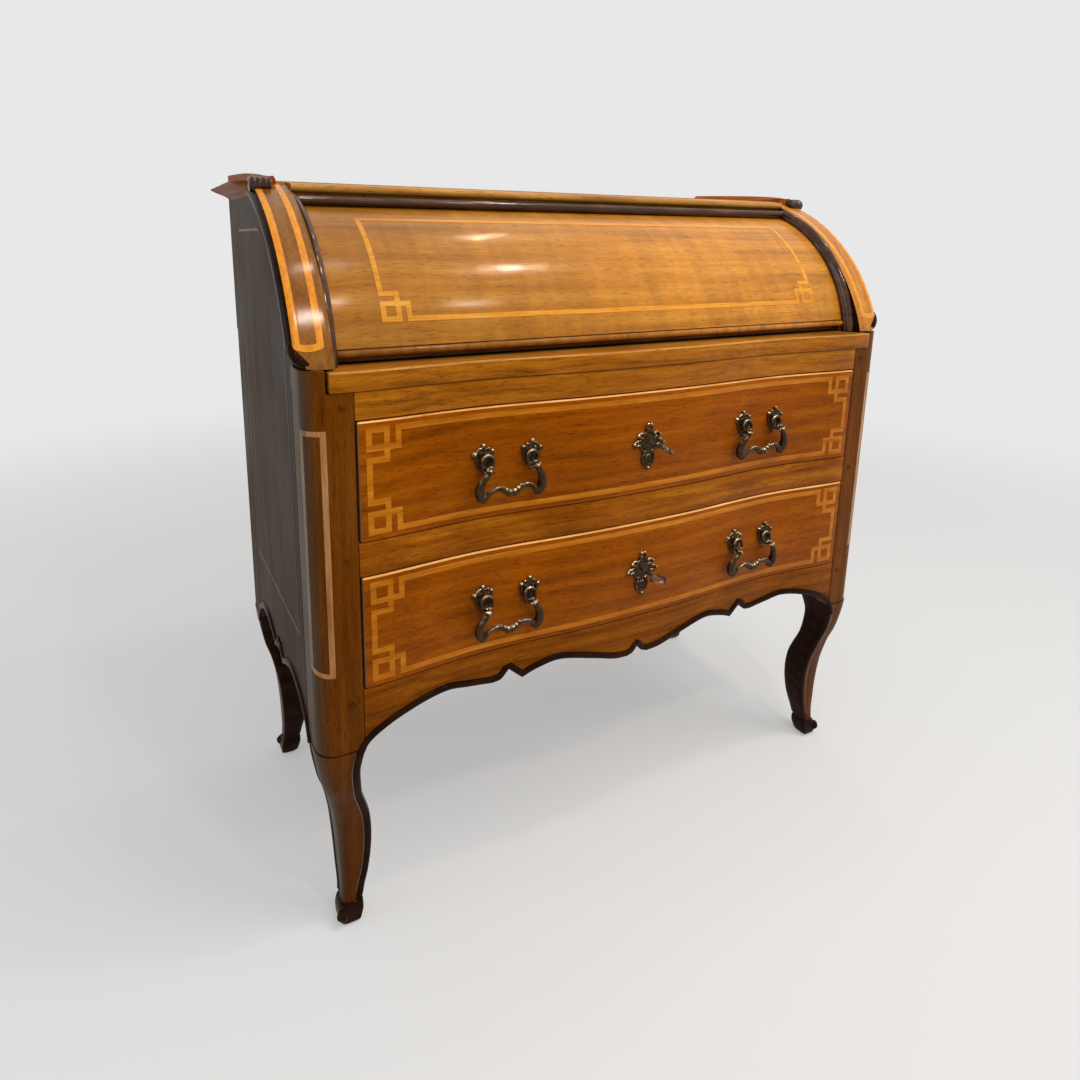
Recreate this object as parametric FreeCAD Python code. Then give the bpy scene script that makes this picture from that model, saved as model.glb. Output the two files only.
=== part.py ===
import FreeCAD, Part
import math
import os

V = FreeCAD.Vector

# All lengths are millimetres. Depth is counted from the front plane of the stiles backwards,
# height from the floor, and width from the middle plane of the desk.

# Case
case_width = 1026.0
case_depth = 490.0
post = 62.0  # section of a stile, square
stile_round = 27.0  # outer corner of a front stile
rear_round = 6.0  # outer corner of a rear stile
side_thick = 20.0
rail_thick = 24.0
back_thick = 12.0
back_board_count = 3

# Levels, from the floor upwards
leg_height = 388.0  # floor of the lower drawer opening
apron_drop = 88.0  # the stile is straight above the apron's foot, shaped below
drawer_opening = 160.0
divider_height = 46.0
top_rail_height = 36.0
slide_thick = 26.0
slide_lift = 2.0  # clearance between the slide and what stands over it
head_room = 4.0  # from the top of the cylinder to the underside of the top board

# Crossbow front: flush at the ends and the middle, hollow between
front_dip = 11.0
dip_exponent = 1.36  # moves the hollow outwards from a quarter of the width
front_steps = 16

# Legs: height up to the knee, outer and inner side of the section, outer corner, other corners
leg_shares = (
    (1.00, 0.000, 1.000, 1.00, 0.25),
    (0.90, 0.050, 0.960, 0.97, 0.40),
    (0.78, 0.180, 0.990, 0.83, 0.70),
    (0.68, 0.290, 1.050, 0.71, 0.90),
    (0.58, 0.385, 1.110, 0.62, 1.00),
    (0.47, 0.460, 1.145, 0.55, 1.00),
    (0.37, 0.500, 1.135, 0.50, 1.00),
    (0.26, 0.515, 1.070, 0.44, 1.00),
    (0.16, 0.500, 0.970, 0.39, 0.95),
    (0.08, 0.440, 0.930, 0.35, 0.90),
    (0.00, 0.380, 0.890, 0.33, 0.90),
)
leg_edge = 8.0
foot_scroll_radius = 9.0
foot_scroll_length = 19.0
foot_scroll_edge = 3.5
foot_scroll_set = 30.0  # from both outer faces of the stile
foot_scroll_height = 22.0

# Draw-bore pegs of the front stiles
peg_radius = 4.5
peg_length = 30.0
peg_proud = 0.8
peg_inset = 16.0  # from the drawer opening
peg_fit = 0.05

# Scalloped aprons: place along the half span, share of the apron's drop
apron_shares = (
    ((1.0, 1.0), (0.93, 0.75), (0.865, 0.60), (0.758, 0.49), (0.652, 0.55), (0.567, 0.59)),
    ((0.567, 0.59), (0.537, 0.565), (0.519, 0.48), (0.508, 0.41)),
    ((0.508, 0.41), (0.459, 0.625)),
    ((0.459, 0.625), (0.40, 0.52), (0.315, 0.455), (0.188, 0.60), (0.10, 0.725), (0.044, 0.75)),
    ((0.044, 0.75), (0.018, 0.70), (0.0, 0.59)),
)
side_apron_shares = (
    ((1.0, 1.0), (0.88, 0.74), (0.72, 0.55), (0.50, 0.47), (0.30, 0.58), (0.16, 0.72)),
    ((0.16, 0.72), (0.09, 0.66), (0.04, 0.52)),
    ((0.04, 0.52), (0.0, 0.64)),
)
bead_height = 11.0
bead_proud = 4.0

# Cylinder, turning about a cross axis at the middle of its curve
cylinder_radius = 243.0
cylinder_thick = 14.0
cylinder_set = 37.0  # front of the cylinder's full circle behind the front plane
cylinder_axis_drop = 31.0  # axis below the writing surface
cylinder_gap = 0.6  # running gap either side of the shell
shell_low = math.radians(15.0)
shell_high = math.radians(84.0)
opening_turn = math.radians(57.0)
groove_spare = math.radians(2.0)
tongue = 8.0  # part of the shell that runs in the side grooves
tongue_gap = 1.0
rib_thick = 9.0
rib_width = 22.0
rib_low = math.radians(19.0)
rib_high = math.radians(80.0)
rib_place_shares = (-0.66, 0.0, 0.66)
rail_lift = 4.0  # shadow gap under the bottom rail
rail_bulge = 12.0  # bottom rail in front of the shell
rail_set = 5.0  # foot of the bottom rail behind its bulge

# Cheeks: a flatter curve than the cylinder
cheek_width = 60.0
cheek_overhang = 8.0  # proud of the side panel
cheek_stand = 91.0  # radius of the cheek's curve beyond the cylinder's
cheek_centre_set = 42.0  # centre of the curve behind the cylinder's axis
cheek_centre_drop = 93.0  # centre of the curve below the cheek's foot
cheek_body = 40.0
cheek_end_set = 24.0  # end of the cheek at the cornice, behind the front of the head bead
cheek_round = 9.0
glue_line = 0.2

# Dark beads round the cylinder
arch_bead = 16.0
head_bead_set = 64.0  # front of the head bead before the cylinder's axis
head_bead_width = 20.0
head_bead_round = 5.0

# Top and cornice
top_thick = 18.0
top_overhang = 8.0  # top board before the head bead
top_nose = 4.0
top_cove = 8.0
cornice_inset = 28.0  # inner face of the cornice behind the side plane
cornice_rise = 41.0
cornice_fillet = 10.0  # flat upper part, proud of the side plane
cornice_beak = 28.0  # tip of the moulding, proud of the side plane
cornice_tip_rise = 17.0
cornice_flat_rise = 28.0
cornice_toe_rise = 3.0
cornice_slope = 110.0  # length of the falling front part
cornice_return = 30.0  # length over which the beak dies away
cornice_curve = 2.0  # hollow and swell of the moulding
cornice_hollow_share = 0.33
cornice_swoop_shares = ((0.0, 0.0), (0.33, 0.2), (0.67, 0.8), (1.0, 1.0))
cornice_scroll = 9.5

# Slide
slide_inset = 28.0  # end of the slide behind the side plane
slide_rear_gap = 4.0  # from the slide to the rear stiles
slide_proud = 3.0
slide_gap = 0.5
slide_edge = 40.0  # width of the front edge piece
cleat_width = 40.0
slide_panel_lift = 2.0
leather_thick = 1.5
leather_margin = 20.0
leather_gap = 6.0  # from the leather to the inner fitting

# Inside the case
deck_thick = 12.0
dust_thick = 6.0
runner_width = 20.0
runner_height = 20.0
guide_height = 30.0

# Drawers
drawer_gap = 1.2
drawer_side_gap = 5.0
drawer_proud = 2.0
drawer_edge = 1.6
drawer_board = 12.0
drawer_rear_gap = 42.0  # from the drawer to the back boards
drawer_side_drop = 30.0  # drawer sides below the head of the opening
drawer_bottom_thick = 8.0
drawer_bottom_lift = 9.0
drawer_back_drop = 5.0

# Lock, key and bolt
lock_width = 76.0
lock_below_key = 22.0
lock_thick = 13.0
lock_wall = 1.5
bolt_width = 30.0
bolt_height = 30.0
bolt_thick = 8.0
bolt_gap = 0.4
bolt_set = 1.0  # retracted bolt below the edge of the front
bolt_throw = 9.0
key_shank = 2.6
key_hole_gap = 0.4
key_slot = 3.2
key_bit_reach = 9.0
key_bit_thick = 2.0
key_bit_length = 6.0
key_inside = 21.0  # end of the shank, behind the front plane
key_shank_reach = 33.0  # ring end of the shank, in front of the front plane
key_ring = 11.0
key_wire = 2.2
upper_key_turn = 35.0  # degrees that the ring is turned at rest
lower_key_turn = 0.0

# Escutcheon
plate_thick = 2.0
plate_half_width = 15.0
plate_half_height = 27.0
plate_ball = 6.0
plate_shares = ((0.0, 1.0), (0.5, 0.5), (1.0, 0.2), (0.65, -0.15), (0.5, -0.6), (0.0, -1.0))
plate_ball_share = 0.2  # side balls, above the key

# Bail handles
handle_place = 236.0  # from the middle plane to the middle of a handle
handle_lift = 8.0  # posts above the middle of the drawer
handle_pitch = 68.0
eye_depth = -12.0
post_head = 6.5
post_neck = 4.5
post_stem = 3.0
stem_fit = 0.05
rosette_radius = 13.0
rosette_thick = 5.0
nut_radius = 7.0
nut_thick = 4.0
stem_spare = 6.0
bail_wire = 3.0
bail_fit = 0.08
bail_half = 50.0
bail_drop = 54.0
bail_bend = 5.0
bail_collar = 4.6
bail_collar_length = 12.0
bail_shares = ((0.94, 0.0), (0.88, 0.37), (1.0, 0.70), (0.84, 1.0), (0.48, 0.74), (0.0, 0.87))
eye_end_share = 0.8  # end of the bail's pin, as part of half the pitch

# Inner fitting of pigeonholes and small drawers
gradin_depth = 124.0
gradin_back_gap = 48.0  # room behind it for the open cylinder
gradin_height = 122.0
gradin_board = 8.0
gradin_back_thick = 5.0
gradin_shelf_share = 0.5
gradin_upright_shares = (-1.0, -0.5, 0.0, 0.5, 1.0)
small_gap = 0.6
small_front = 9.0
small_board = 6.0
small_knob = 6.0
small_knob_neck = 3.0
small_knob_reach = 14.0

quarter_turn = 90.0  # degrees
overrun = 5.0  # how far every cut runs past the face that it opens
join_limit = 1e-6

# Derived places
knee_height = leg_height - apron_drop
half_case = case_width / 2
half_opening = half_case - post
side_inner = half_case - side_thick
lower_floor = leg_height
lower_head = lower_floor + drawer_opening
upper_floor = lower_head + divider_height
upper_head = upper_floor + drawer_opening
slide_floor = upper_head + top_rail_height
slide_top = slide_floor + slide_thick
cheek_foot = slide_top + slide_lift
axis_height = slide_top - cylinder_axis_drop
carcase_top = axis_height + cylinder_radius + head_room
board_top = carcase_top + top_thick
back_inner = case_depth - back_thick
cylinder_axis_depth = cylinder_set + cylinder_radius
head_bead_depth = cylinder_axis_depth - head_bead_set
top_front_depth = head_bead_depth - top_overhang
cheek_end_depth = head_bead_depth + cheek_end_set
cheek_radius = cylinder_radius + cheek_stand
cheek_centre_depth = cylinder_axis_depth + cheek_centre_set
cheek_outer = half_case + cheek_overhang
cheek_inner = cheek_outer - cheek_width
cornice_inner = half_case - cornice_inset
shell_inner = cylinder_radius - cylinder_thick
cylinder_axis = V(0, cylinder_axis_depth, axis_height)
cheek_centre = V(0, cheek_centre_depth, cheek_foot - cheek_centre_drop)
cheek_back_radius = cheek_radius - cheek_body
slide_half = half_case - slide_inset
slide_length = case_depth - post - slide_rear_gap
drawer_length = back_inner - drawer_rear_gap - rail_thick
drawer_side_height = drawer_opening - drawer_side_drop
gradin_back = back_inner - gradin_back_gap
gradin_front = gradin_back - gradin_depth
gradin_floor = cheek_foot
gradin_top = gradin_floor + gradin_height
key_tip = key_shank_reach + 2 * key_ring + key_wire
mid_depth = (case_depth - key_tip) / 2


def box(low, high):
    size = [b - a for a, b in zip(low, high)]
    return Part.makeBox(*size, V(*low))


def rod(radius, start, end):
    return Part.makeCylinder(radius, (end - start).Length, start, end - start)


def mirrored(shape):
    return shape.mirror(V(0, 0, 0), V(1, 0, 0))


def fused(shapes):
    return shapes[0].multiFuse(shapes[1:]).removeSplitter()


def save(node, *shapes):
    shape = shapes[0] if len(shapes) == 1 else Part.makeCompound(shapes)
    placed = shape.translated(V(0, -mid_depth, 0))
    placed.exportStep("parts/" + node + ".step")
    solids = len(placed.Solids)
    state = "ok" if placed.isValid() else "INVALID"
    print(node, solids, "solids", state, "volume", round(placed.Volume))


def save_pair(node, shape):
    save(node + "_right", shape)
    save(node + "_left", mirrored(shape))


def loop(*items):
    # Face inside a run of points and curves, joined by straight lines where they don't meet
    starts = [i if isinstance(i, V) else i.valueAt(i.FirstParameter) for i in items]
    stops = [i if isinstance(i, V) else i.valueAt(i.LastParameter) for i in items]
    edges = []
    for n, item in enumerate(items):
        if not isinstance(item, V):
            edges.append(item)
        following = starts[(n + 1) % len(items)]
        if not stops[n].isEqual(following, join_limit):
            edges.append(Part.makeLine(stops[n], following))
    return Part.Face(Part.Wire(edges))


def spline(points):
    curve = Part.BSplineCurve()
    curve.interpolate(points)
    return curve.toShape()


def arc_point(centre, radius, angle):
    # Angle 0 points to the front, a right angle points up
    return centre + V(0, -radius * math.cos(angle), radius * math.sin(angle))


def arc(centre, radius, first, last):
    angles = (first, (first + last) / 2, last)
    return Part.Arc(*[arc_point(centre, radius, a) for a in angles]).toShape()


def across(face, low, high):
    # Solid of a face drawn in the middle plane, from one width to another
    return face.translated(V(low, 0, 0)).extrude(V(high - low, 0, 0))


def ring_sector(inner, outer, first, last, low, high):
    face = loop(arc(cylinder_axis, outer, first, last), arc(cylinder_axis, inner, last, first))
    return across(face, low, high)


def front_line(x):
    share = min(abs(x) / half_opening, 1)
    return front_dip * math.sin(math.pi * share**dip_exponent) ** 2


def front_block(half, proud, back, bottom, top):
    # Piece with the crossbow front, flat behind
    places = [half * n / front_steps for n in range(-front_steps, front_steps + 1)]
    front = spline([V(x, front_line(x) - proud, bottom) for x in places])
    face = loop(front, V(half, back, bottom), V(-half, back, bottom))
    return face.extrude(V(0, 0, top - bottom))


def leg_section(height_share, near_share, far_share, corner_share, edge_share, corner):
    # Rounded square in plan, measured inwards from the outer corner of the case
    z = knee_height * height_share
    near = post * near_share
    far = post * far_share
    big = corner * corner_share
    small = leg_edge * edge_share
    slant = math.sqrt(0.5)
    corners = (
        (V(near + big, near + big, z), big, V(-1, 0, 0), V(-slant, -slant, 0), V(0, -1, 0)),
        (V(far - small, near + small, z), small, V(0, -1, 0), V(slant, -slant, 0), V(1, 0, 0)),
        (V(far - small, far - small, z), small, V(1, 0, 0), V(slant, slant, 0), V(0, 1, 0)),
        (V(near + small, far - small, z), small, V(0, 1, 0), V(-slant, slant, 0), V(-1, 0, 0)),
    )
    arcs = [Part.Arc(c + a * r, c + b * r, c + d * r).toShape() for c, r, a, b, d in corners]
    return loop(*arcs).OuterWire


def leg(corner):
    # Leg and stile in one piece, its outer corner on the origin
    sections = [leg_section(*row, corner) for row in leg_shares]
    shaped = Part.makeLoft(sections, True, False)
    stile = Part.Face(sections[0]).extrude(V(0, 0, cheek_foot - knee_height))
    middle = V(foot_scroll_set, foot_scroll_set, foot_scroll_height)
    reach = V(1, -1, 0).normalize() * (foot_scroll_length / 2)
    scroll = rod(foot_scroll_radius, middle - reach, middle + reach)
    rims = [e for e in scroll.Edges if e.isClosed()]
    return fused([stile, shaped, scroll.makeFillet(foot_scroll_edge, rims)])


def peg_places():
    levels = (lower_floor - bead_height - peg_inset / 2, (lower_head + upper_floor) / 2)
    return levels + ((upper_head + slide_floor) / 2,)


def pegs(radius, front, back):
    x = half_opening + peg_inset
    return [rod(radius, V(x, front, z), V(x, back, z)) for z in peg_places()]


def legs():
    front = mirrored(leg(stile_round).translated(V(-half_case, 0, 0)))
    low = (-overrun, -overrun, slide_floor)
    front = front.cut(box(low, (slide_half + slide_gap, post + overrun, cheek_foot + overrun)))
    for hole in pegs(peg_radius + peg_fit, -overrun, peg_length):
        front = front.cut(hole)
    rear = leg(rear_round).mirror(V(0, 0, 0), V(0, 1, 0)).translated(V(-half_case, case_depth, 0))
    save_pair("leg_front", front)
    save_pair("leg_rear", mirrored(rear))
    right = pegs(peg_radius, -peg_proud, peg_length)
    save("joint_pegs", *right, *[mirrored(p) for p in right])


def scallop(shares, half, lift):
    # Lower edge of an apron from end to end, in the plane of its front
    runs = [[V(-half * x, 0, leg_height - apron_drop * d + lift) for x, d in run] for run in shares]
    back = [[V(-p.x, 0, p.z) for p in reversed(run)] for run in reversed(runs)]
    edges = []
    for run in runs + back:
        edges.append(Part.makeLine(*run) if len(run) == 2 else spline(run))
    return edges


def apron_sheet(shares, half, lift, thick):
    face = loop(V(-half, 0, leg_height), *scallop(shares, half, lift), V(half, 0, leg_height))
    return face.extrude(V(0, thick, 0))


def front_apron():
    deep = rail_thick + bead_proud
    sheet = apron_sheet(apron_shares, half_opening, 0, deep).translated(V(0, -bead_proud, 0))
    upper = apron_sheet(apron_shares, half_opening, bead_height, deep).translated(V(0, -bead_proud, 0))
    board = front_block(half_opening, 0, rail_thick, knee_height, leg_height)
    skin = front_block(half_opening, bead_proud, rail_thick, knee_height, leg_height).cut(board)
    return sheet.common(board), sheet.cut(upper).common(skin)


def side_apron():
    half = case_depth / 2 - post
    sheet = apron_sheet(side_apron_shares, half, 0, side_thick)
    lower = apron_sheet(side_apron_shares, half, 0, bead_proud)
    bead = lower.cut(apron_sheet(side_apron_shares, half, bead_height, bead_proud))
    bead = bead.translated(V(0, -bead_proud, 0))
    placed = []
    for piece in (sheet, bead):
        turned = piece.rotated(V(0, 0, 0), V(0, 0, 1), quarter_turn)
        placed.append(turned.translated(V(half_case, case_depth / 2, 0)))
    return placed


def aprons():
    board, bead = front_apron()
    side, side_bead = side_apron()
    save("front_apron", board)
    save_pair("side_apron", side)
    save("apron_beads", bead, side_bead, mirrored(side_bead))


def rails():
    spare = 2 * bolt_gap
    pocket_low = (-bolt_width / 2 - spare, bolt_back() - bolt_thick - spare, -overrun)
    pocket_high = (bolt_width / 2 + spare, bolt_back() + spare, bolt_throw + bolt_set)
    pocket = box(pocket_low, pocket_high)
    top = front_block(half_opening, 0, rail_thick, upper_head, slide_floor)
    divider = front_block(half_opening, 0, rail_thick, lower_head, upper_floor)
    save("top_rail", top.cut(pocket.translated(V(0, 0, upper_head))))
    save("drawer_divider", divider.cut(pocket.translated(V(0, 0, lower_head))))
    low = (-half_opening, case_depth - rail_thick, knee_height)
    save("rear_rail", box(low, (half_opening, case_depth, leg_height)))


def upper_side_face(front_radius):
    # Upper side, from the back of the cheek to the back of the desk
    first = math.asin(cheek_centre_drop / front_radius)
    last = math.acos((cheek_centre_depth - cheek_end_depth) / front_radius)
    curve = arc(cheek_centre, front_radius, first, last)
    top = V(0, cheek_end_depth, carcase_top)
    return curve, top


def side_panels():
    curve, top = upper_side_face(cheek_back_radius - glue_line)
    rear_post = case_depth - post
    face = loop(
        V(0, post, leg_height),
        V(0, post, cheek_foot),
        curve,
        top,
        V(0, case_depth, carcase_top),
        V(0, case_depth, cheek_foot),
        V(0, rear_post, cheek_foot),
        V(0, rear_post, leg_height),
    )
    save_pair("side_panel", across(face, side_inner, half_case))


def side_groove():
    first = shell_low - groove_spare
    last = shell_high + opening_turn + groove_spare
    inner = shell_inner - cylinder_gap
    outer = cylinder_radius + cylinder_gap
    return ring_sector(inner, outer, first, last, cheek_inner - overrun, cheek_inner + tongue + tongue_gap)


def inner_sides():
    curve, top = upper_side_face(cheek_back_radius - glue_line)
    face = loop(curve, top, V(0, back_inner, carcase_top), V(0, back_inner, cheek_foot))
    save_pair("inner_side", across(face, cheek_inner, side_inner).cut(side_groove()))


def cheeks():
    ends = []
    for radius in (cheek_radius, cheek_back_radius):
        first = math.asin(cheek_centre_drop / radius)
        last = math.acos((cheek_centre_depth - cheek_end_depth) / radius)
        ends.append((first, last))
    (front_first, front_last), (back_first, back_last) = ends
    face = loop(
        arc(cheek_centre, cheek_radius, front_first, front_last),
        arc(cheek_centre, cheek_back_radius, back_last, back_first),
    )
    cheek = across(face, cheek_inner, cheek_outer)
    rounded = [e for e in cheek.Edges if outer_front_edge(e)]
    cheek = cheek.makeFillet(cheek_round, rounded)
    save_pair("cheek", cheek.cut(side_groove()))


def outer_front_edge(edge):
    # Front and foot edges on the outer face of the cheek
    middle = edge.CenterOfMass
    on_side = edge.BoundBox.XMin > cheek_outer - join_limit
    front = edge.BoundBox.YMin < post / 2 and middle.y < cheek_end_depth
    return on_side and front and edge.BoundBox.ZMax < board_top and not back_curve(edge)


def back_curve(edge):
    if not isinstance(edge.Curve, Part.Circle):
        return False
    return abs(edge.Curve.Radius - cheek_back_radius) < glue_line


def opening_beads():
    start = cylinder_radius + cylinder_gap
    root = V(0, cylinder_axis_depth - start, axis_height)
    out = V(0, -arch_bead, 0)
    side = V(cheek_inner, 0, 0)
    slant = math.sqrt(0.5)
    corner = root + side
    inner = corner - V(arch_bead, 0, 0)
    middle = corner + V(-arch_bead * slant, -arch_bead * slant, 0)
    section = loop(Part.Arc(inner, middle, corner + out).toShape(), corner)
    last = math.degrees(math.acos((cylinder_axis_depth - head_bead_depth) / start))
    arch = section.revolve(cylinder_axis, V(-1, 0, 0), last)
    clear = box(
        (0, -overrun, cheek_foot),
        (cheek_inner, case_depth, carcase_top),
    )
    arch = arch.common(clear)
    low = (-cheek_inner, head_bead_depth, axis_height)
    high = (cheek_inner, head_bead_depth + head_bead_width, carcase_top)
    hollow = rod(start, V(-case_width, *cylinder_axis[1:]), V(case_width, *cylinder_axis[1:]))
    head = box(low, high).cut(hollow)
    front = [e for e in head.Edges if e.BoundBox.YMax < head_bead_depth + join_limit]
    lower = [e for e in front if e.BoundBox.ZMax < carcase_top - join_limit]
    head = head.makeFillet(head_bead_round, lower)
    save("opening_beads", head, arch, mirrored(arch))


def top_board():
    top_corner = V(0, top_front_depth + top_nose, board_top - top_nose)
    slant = math.sqrt(0.5)
    nose = Part.Arc(
        top_corner + V(0, 0, top_nose),
        top_corner + V(0, -top_nose * slant, top_nose * slant),
        top_corner + V(0, -top_nose, 0),
    ).toShape()
    cove_centre = V(0, top_front_depth, carcase_top)
    cove = Part.Arc(
        cove_centre + V(0, 0, top_cove),
        cove_centre + V(0, top_cove * slant, top_cove * slant),
        cove_centre + V(0, top_cove, 0),
    ).toShape()
    back = case_depth
    face = loop(nose, cove, V(0, back, carcase_top), V(0, back, board_top))
    board = across(face, -cornice_inner, cornice_inner)
    low = (cheek_inner - glue_line, top_front_depth - overrun, carcase_top - overrun)
    corner = box(low, (case_width, cheek_end_depth + glue_line, board_top + overrun))
    save("top_board", board.cut(corner).cut(mirrored(corner)))


def cornice():
    flat = half_case + cornice_fillet
    tip = V(half_case + cornice_beak, cheek_end_depth, carcase_top + cornice_tip_rise)
    shoulder = V(flat, cheek_end_depth, carcase_top + cornice_flat_rise)
    toe = V(half_case, cheek_end_depth, carcase_top + cornice_toe_rise)
    hollow_middle = shoulder + (tip - shoulder) * cornice_hollow_share - V(cornice_curve, 0, cornice_curve)
    belly_middle = (tip + toe) / 2 + V(cornice_curve, 0, -cornice_curve)
    hollow = spline([shoulder, hollow_middle, tip])
    belly = spline([tip, belly_middle, toe])
    inner = V(cornice_inner, cheek_end_depth, carcase_top)
    top = V(0, 0, cornice_rise)
    outer_top = V(flat, cheek_end_depth, carcase_top + cornice_rise)
    face = loop(inner + top, outer_top, hollow, belly, V(half_case, cheek_end_depth, carcase_top), inner)
    bar = face.extrude(V(0, case_depth - cheek_end_depth, 0))
    scroll_centre = V(0, cheek_end_depth + cornice_scroll, carcase_top + top_thick + glue_line)
    scroll_top = scroll_centre + V(0, 0, cornice_scroll)
    crest = V(0, cheek_end_depth + cornice_slope, carcase_top + cornice_rise)
    rise = crest - scroll_top
    swoop = spline([scroll_top + V(0, rise.y * a, rise.z * b) for a, b in cornice_swoop_shares])
    front = V(0, scroll_top.y - cornice_scroll - overrun, crest.z + overrun)
    scrap = loop(swoop, crest + V(0, 0, overrun), front, V(0, front.y, scroll_top.z))
    bar = bar.cut(across(scrap, cornice_inner - overrun, half_case + 2 * cornice_beak))
    beak_root = V(flat, cheek_end_depth - join_limit, carcase_top - overrun)
    beak_wide = beak_root + V(2 * cornice_beak, 0, 0)
    beak_end = beak_root + V(2 * cornice_beak, 2 * cornice_return, 0)
    mitre = loop(beak_root, beak_wide, beak_end).extrude(V(0, 0, cornice_rise + 2 * overrun))
    bar = bar.cut(mitre)
    ends = [scroll_centre + V(x, 0, 0) for x in (cornice_inner, flat)]
    save_pair("side_cornice", fused([bar, rod(cornice_scroll, *ends)]))


def back_boards():
    lower_width = 2 * half_opening / back_board_count
    boards = [box((-side_inner, back_inner, cheek_foot), (side_inner, case_depth, carcase_top))]
    for n in range(back_board_count):
        start = -half_opening + lower_width * n
        low = (start, back_inner, leg_height)
        boards.append(box(low, (start + lower_width, case_depth, cheek_foot)))
    save("back_boards", *boards)


def between_posts(half_narrow, half_wide, bottom, top, back):
    # Board notched round the four stiles
    narrow = box((-half_narrow, rail_thick, bottom), (half_narrow, back, top))
    wide = box((-half_wide, post, bottom), (half_wide, case_depth - post, top))
    return fused([narrow, wide])


def inside_case():
    deck = between_posts(half_opening, side_inner, slide_floor - deck_thick, slide_floor, back_inner)
    save("slide_deck", deck)
    runner_inner = half_opening - runner_width
    rear = case_depth - rail_thick
    solids = []
    for floor in (lower_floor, upper_floor):
        bottom = floor - runner_height
        strip = box((runner_inner, rail_thick, bottom), (half_opening, rear, floor))
        ledge = box((half_opening, post, bottom), (side_inner, case_depth - post, floor))
        guide = box((half_opening, post, floor), (side_inner, case_depth - post, floor + guide_height))
        solids.append(fused([strip, ledge, guide]))
    save("drawer_runners", *solids, *[mirrored(s) for s in solids])
    dust_low = upper_floor - runner_height / 2 - dust_thick / 2
    low = (-runner_inner, rail_thick, dust_low)
    save("dust_board", box(low, (runner_inner, rear, dust_low + dust_thick)))


def bottom_rail_face():
    start = arc_point(cylinder_axis, shell_inner, shell_low)
    end = arc_point(cylinder_axis, cylinder_radius, shell_low)
    foot = slide_top + rail_lift
    front = V(0, end.y - rail_bulge, (foot + end.z) / 2)
    toe = V(0, front.y + rail_set, foot)
    heel = V(0, start.y, foot)
    bulge = Part.Arc(end, front, toe).toShape()
    return loop(bulge, heel, start)


def cylinder():
    half = cheek_inner + tongue
    save("cylinder_shell", ring_sector(shell_inner, cylinder_radius, shell_low, shell_high, -half, half))
    rail_half = cheek_inner - arch_bead - tongue_gap
    save("cylinder_bottom_rail", across(bottom_rail_face(), -rail_half, rail_half))
    ribs = []
    for share in rib_place_shares:
        middle = cheek_inner * share
        low = middle - rib_width / 2
        ribs.append(ring_sector(shell_inner - rib_thick, shell_inner, rib_low, rib_high, low, low + rib_width))
    save("cylinder_ribs", *ribs)


def slide():
    save("slide_front_edge", front_block(slide_half, slide_proud, slide_edge, slide_floor, slide_top))
    panel_half = slide_half - cleat_width
    panel_low = slide_floor + slide_panel_lift
    panel = box((-panel_half, slide_edge, panel_low), (panel_half, slide_length, slide_top))
    leather_half = panel_half - leather_margin
    leather_front = slide_edge + leather_margin
    leather_low = slide_top - leather_thick
    leather_back = gradin_front - leather_gap
    leather = box((-leather_half, leather_front, leather_low), (leather_half, leather_back, slide_top))
    save("slide_panel", panel.cut(leather))
    save("writing_leather", leather)
    cleat = box((panel_half, slide_edge, slide_floor), (slide_half, slide_length, slide_top))
    save("slide_cleats", cleat, mirrored(cleat))


def key_hole(radius, reach, front, back):
    # Round hole with a slot below it for the bit
    barrel = rod(radius, V(0, front, 0), V(0, back, 0))
    slot = box((-key_slot / 2, front, -reach), (key_slot / 2, back, 0))
    return barrel.fuse(slot)


def bolt_back():
    return rail_thick - lock_wall - bolt_gap


def lock(middle, head):
    # Lock case let into the back of the front, with its bolt shot upwards through the top edge
    front = rail_thick - lock_thick
    low = middle - lock_below_key
    half = lock_width / 2
    outer = box((-half, front, low), (half, rail_thick, head))
    inner_low = (-half + lock_wall, front + lock_wall, low + lock_wall)
    inner = box(inner_low, (half - lock_wall, rail_thick - lock_wall, head - lock_wall))
    bolt_top = head - bolt_set
    bolt_low = (-bolt_width / 2, bolt_back() - bolt_thick, bolt_top - bolt_height)
    bolt = box(bolt_low, (bolt_width / 2, bolt_back(), bolt_top))
    mouth_low = (bolt_low[0] - bolt_gap, bolt_low[1] - bolt_gap, head - lock_wall - overrun)
    mouth = box(mouth_low, (bolt_width / 2 + bolt_gap, bolt_back() + bolt_gap, head + overrun))
    hole = key_hole(key_shank + key_hole_gap, key_bit_reach + key_hole_gap, front - overrun, front + overrun)
    case = outer.cut(inner).cut(mouth).cut(hole.translated(V(0, 0, middle)))
    return outer, case, bolt


def key(turn):
    shank = rod(key_shank, V(0, -key_shank_reach, 0), V(0, key_inside, 0))
    bit_front = key_inside - key_bit_length
    bit = box((-key_bit_thick / 2, bit_front, -key_bit_reach), (key_bit_thick / 2, key_inside, 0))
    ring = Part.makeTorus(key_ring, key_wire, V(0, -key_shank_reach - key_ring, 0), V(0, 0, 1))
    ring = ring.rotated(V(0, 0, 0), V(0, 1, 0), turn)
    return fused([shank, bit, ring])


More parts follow.
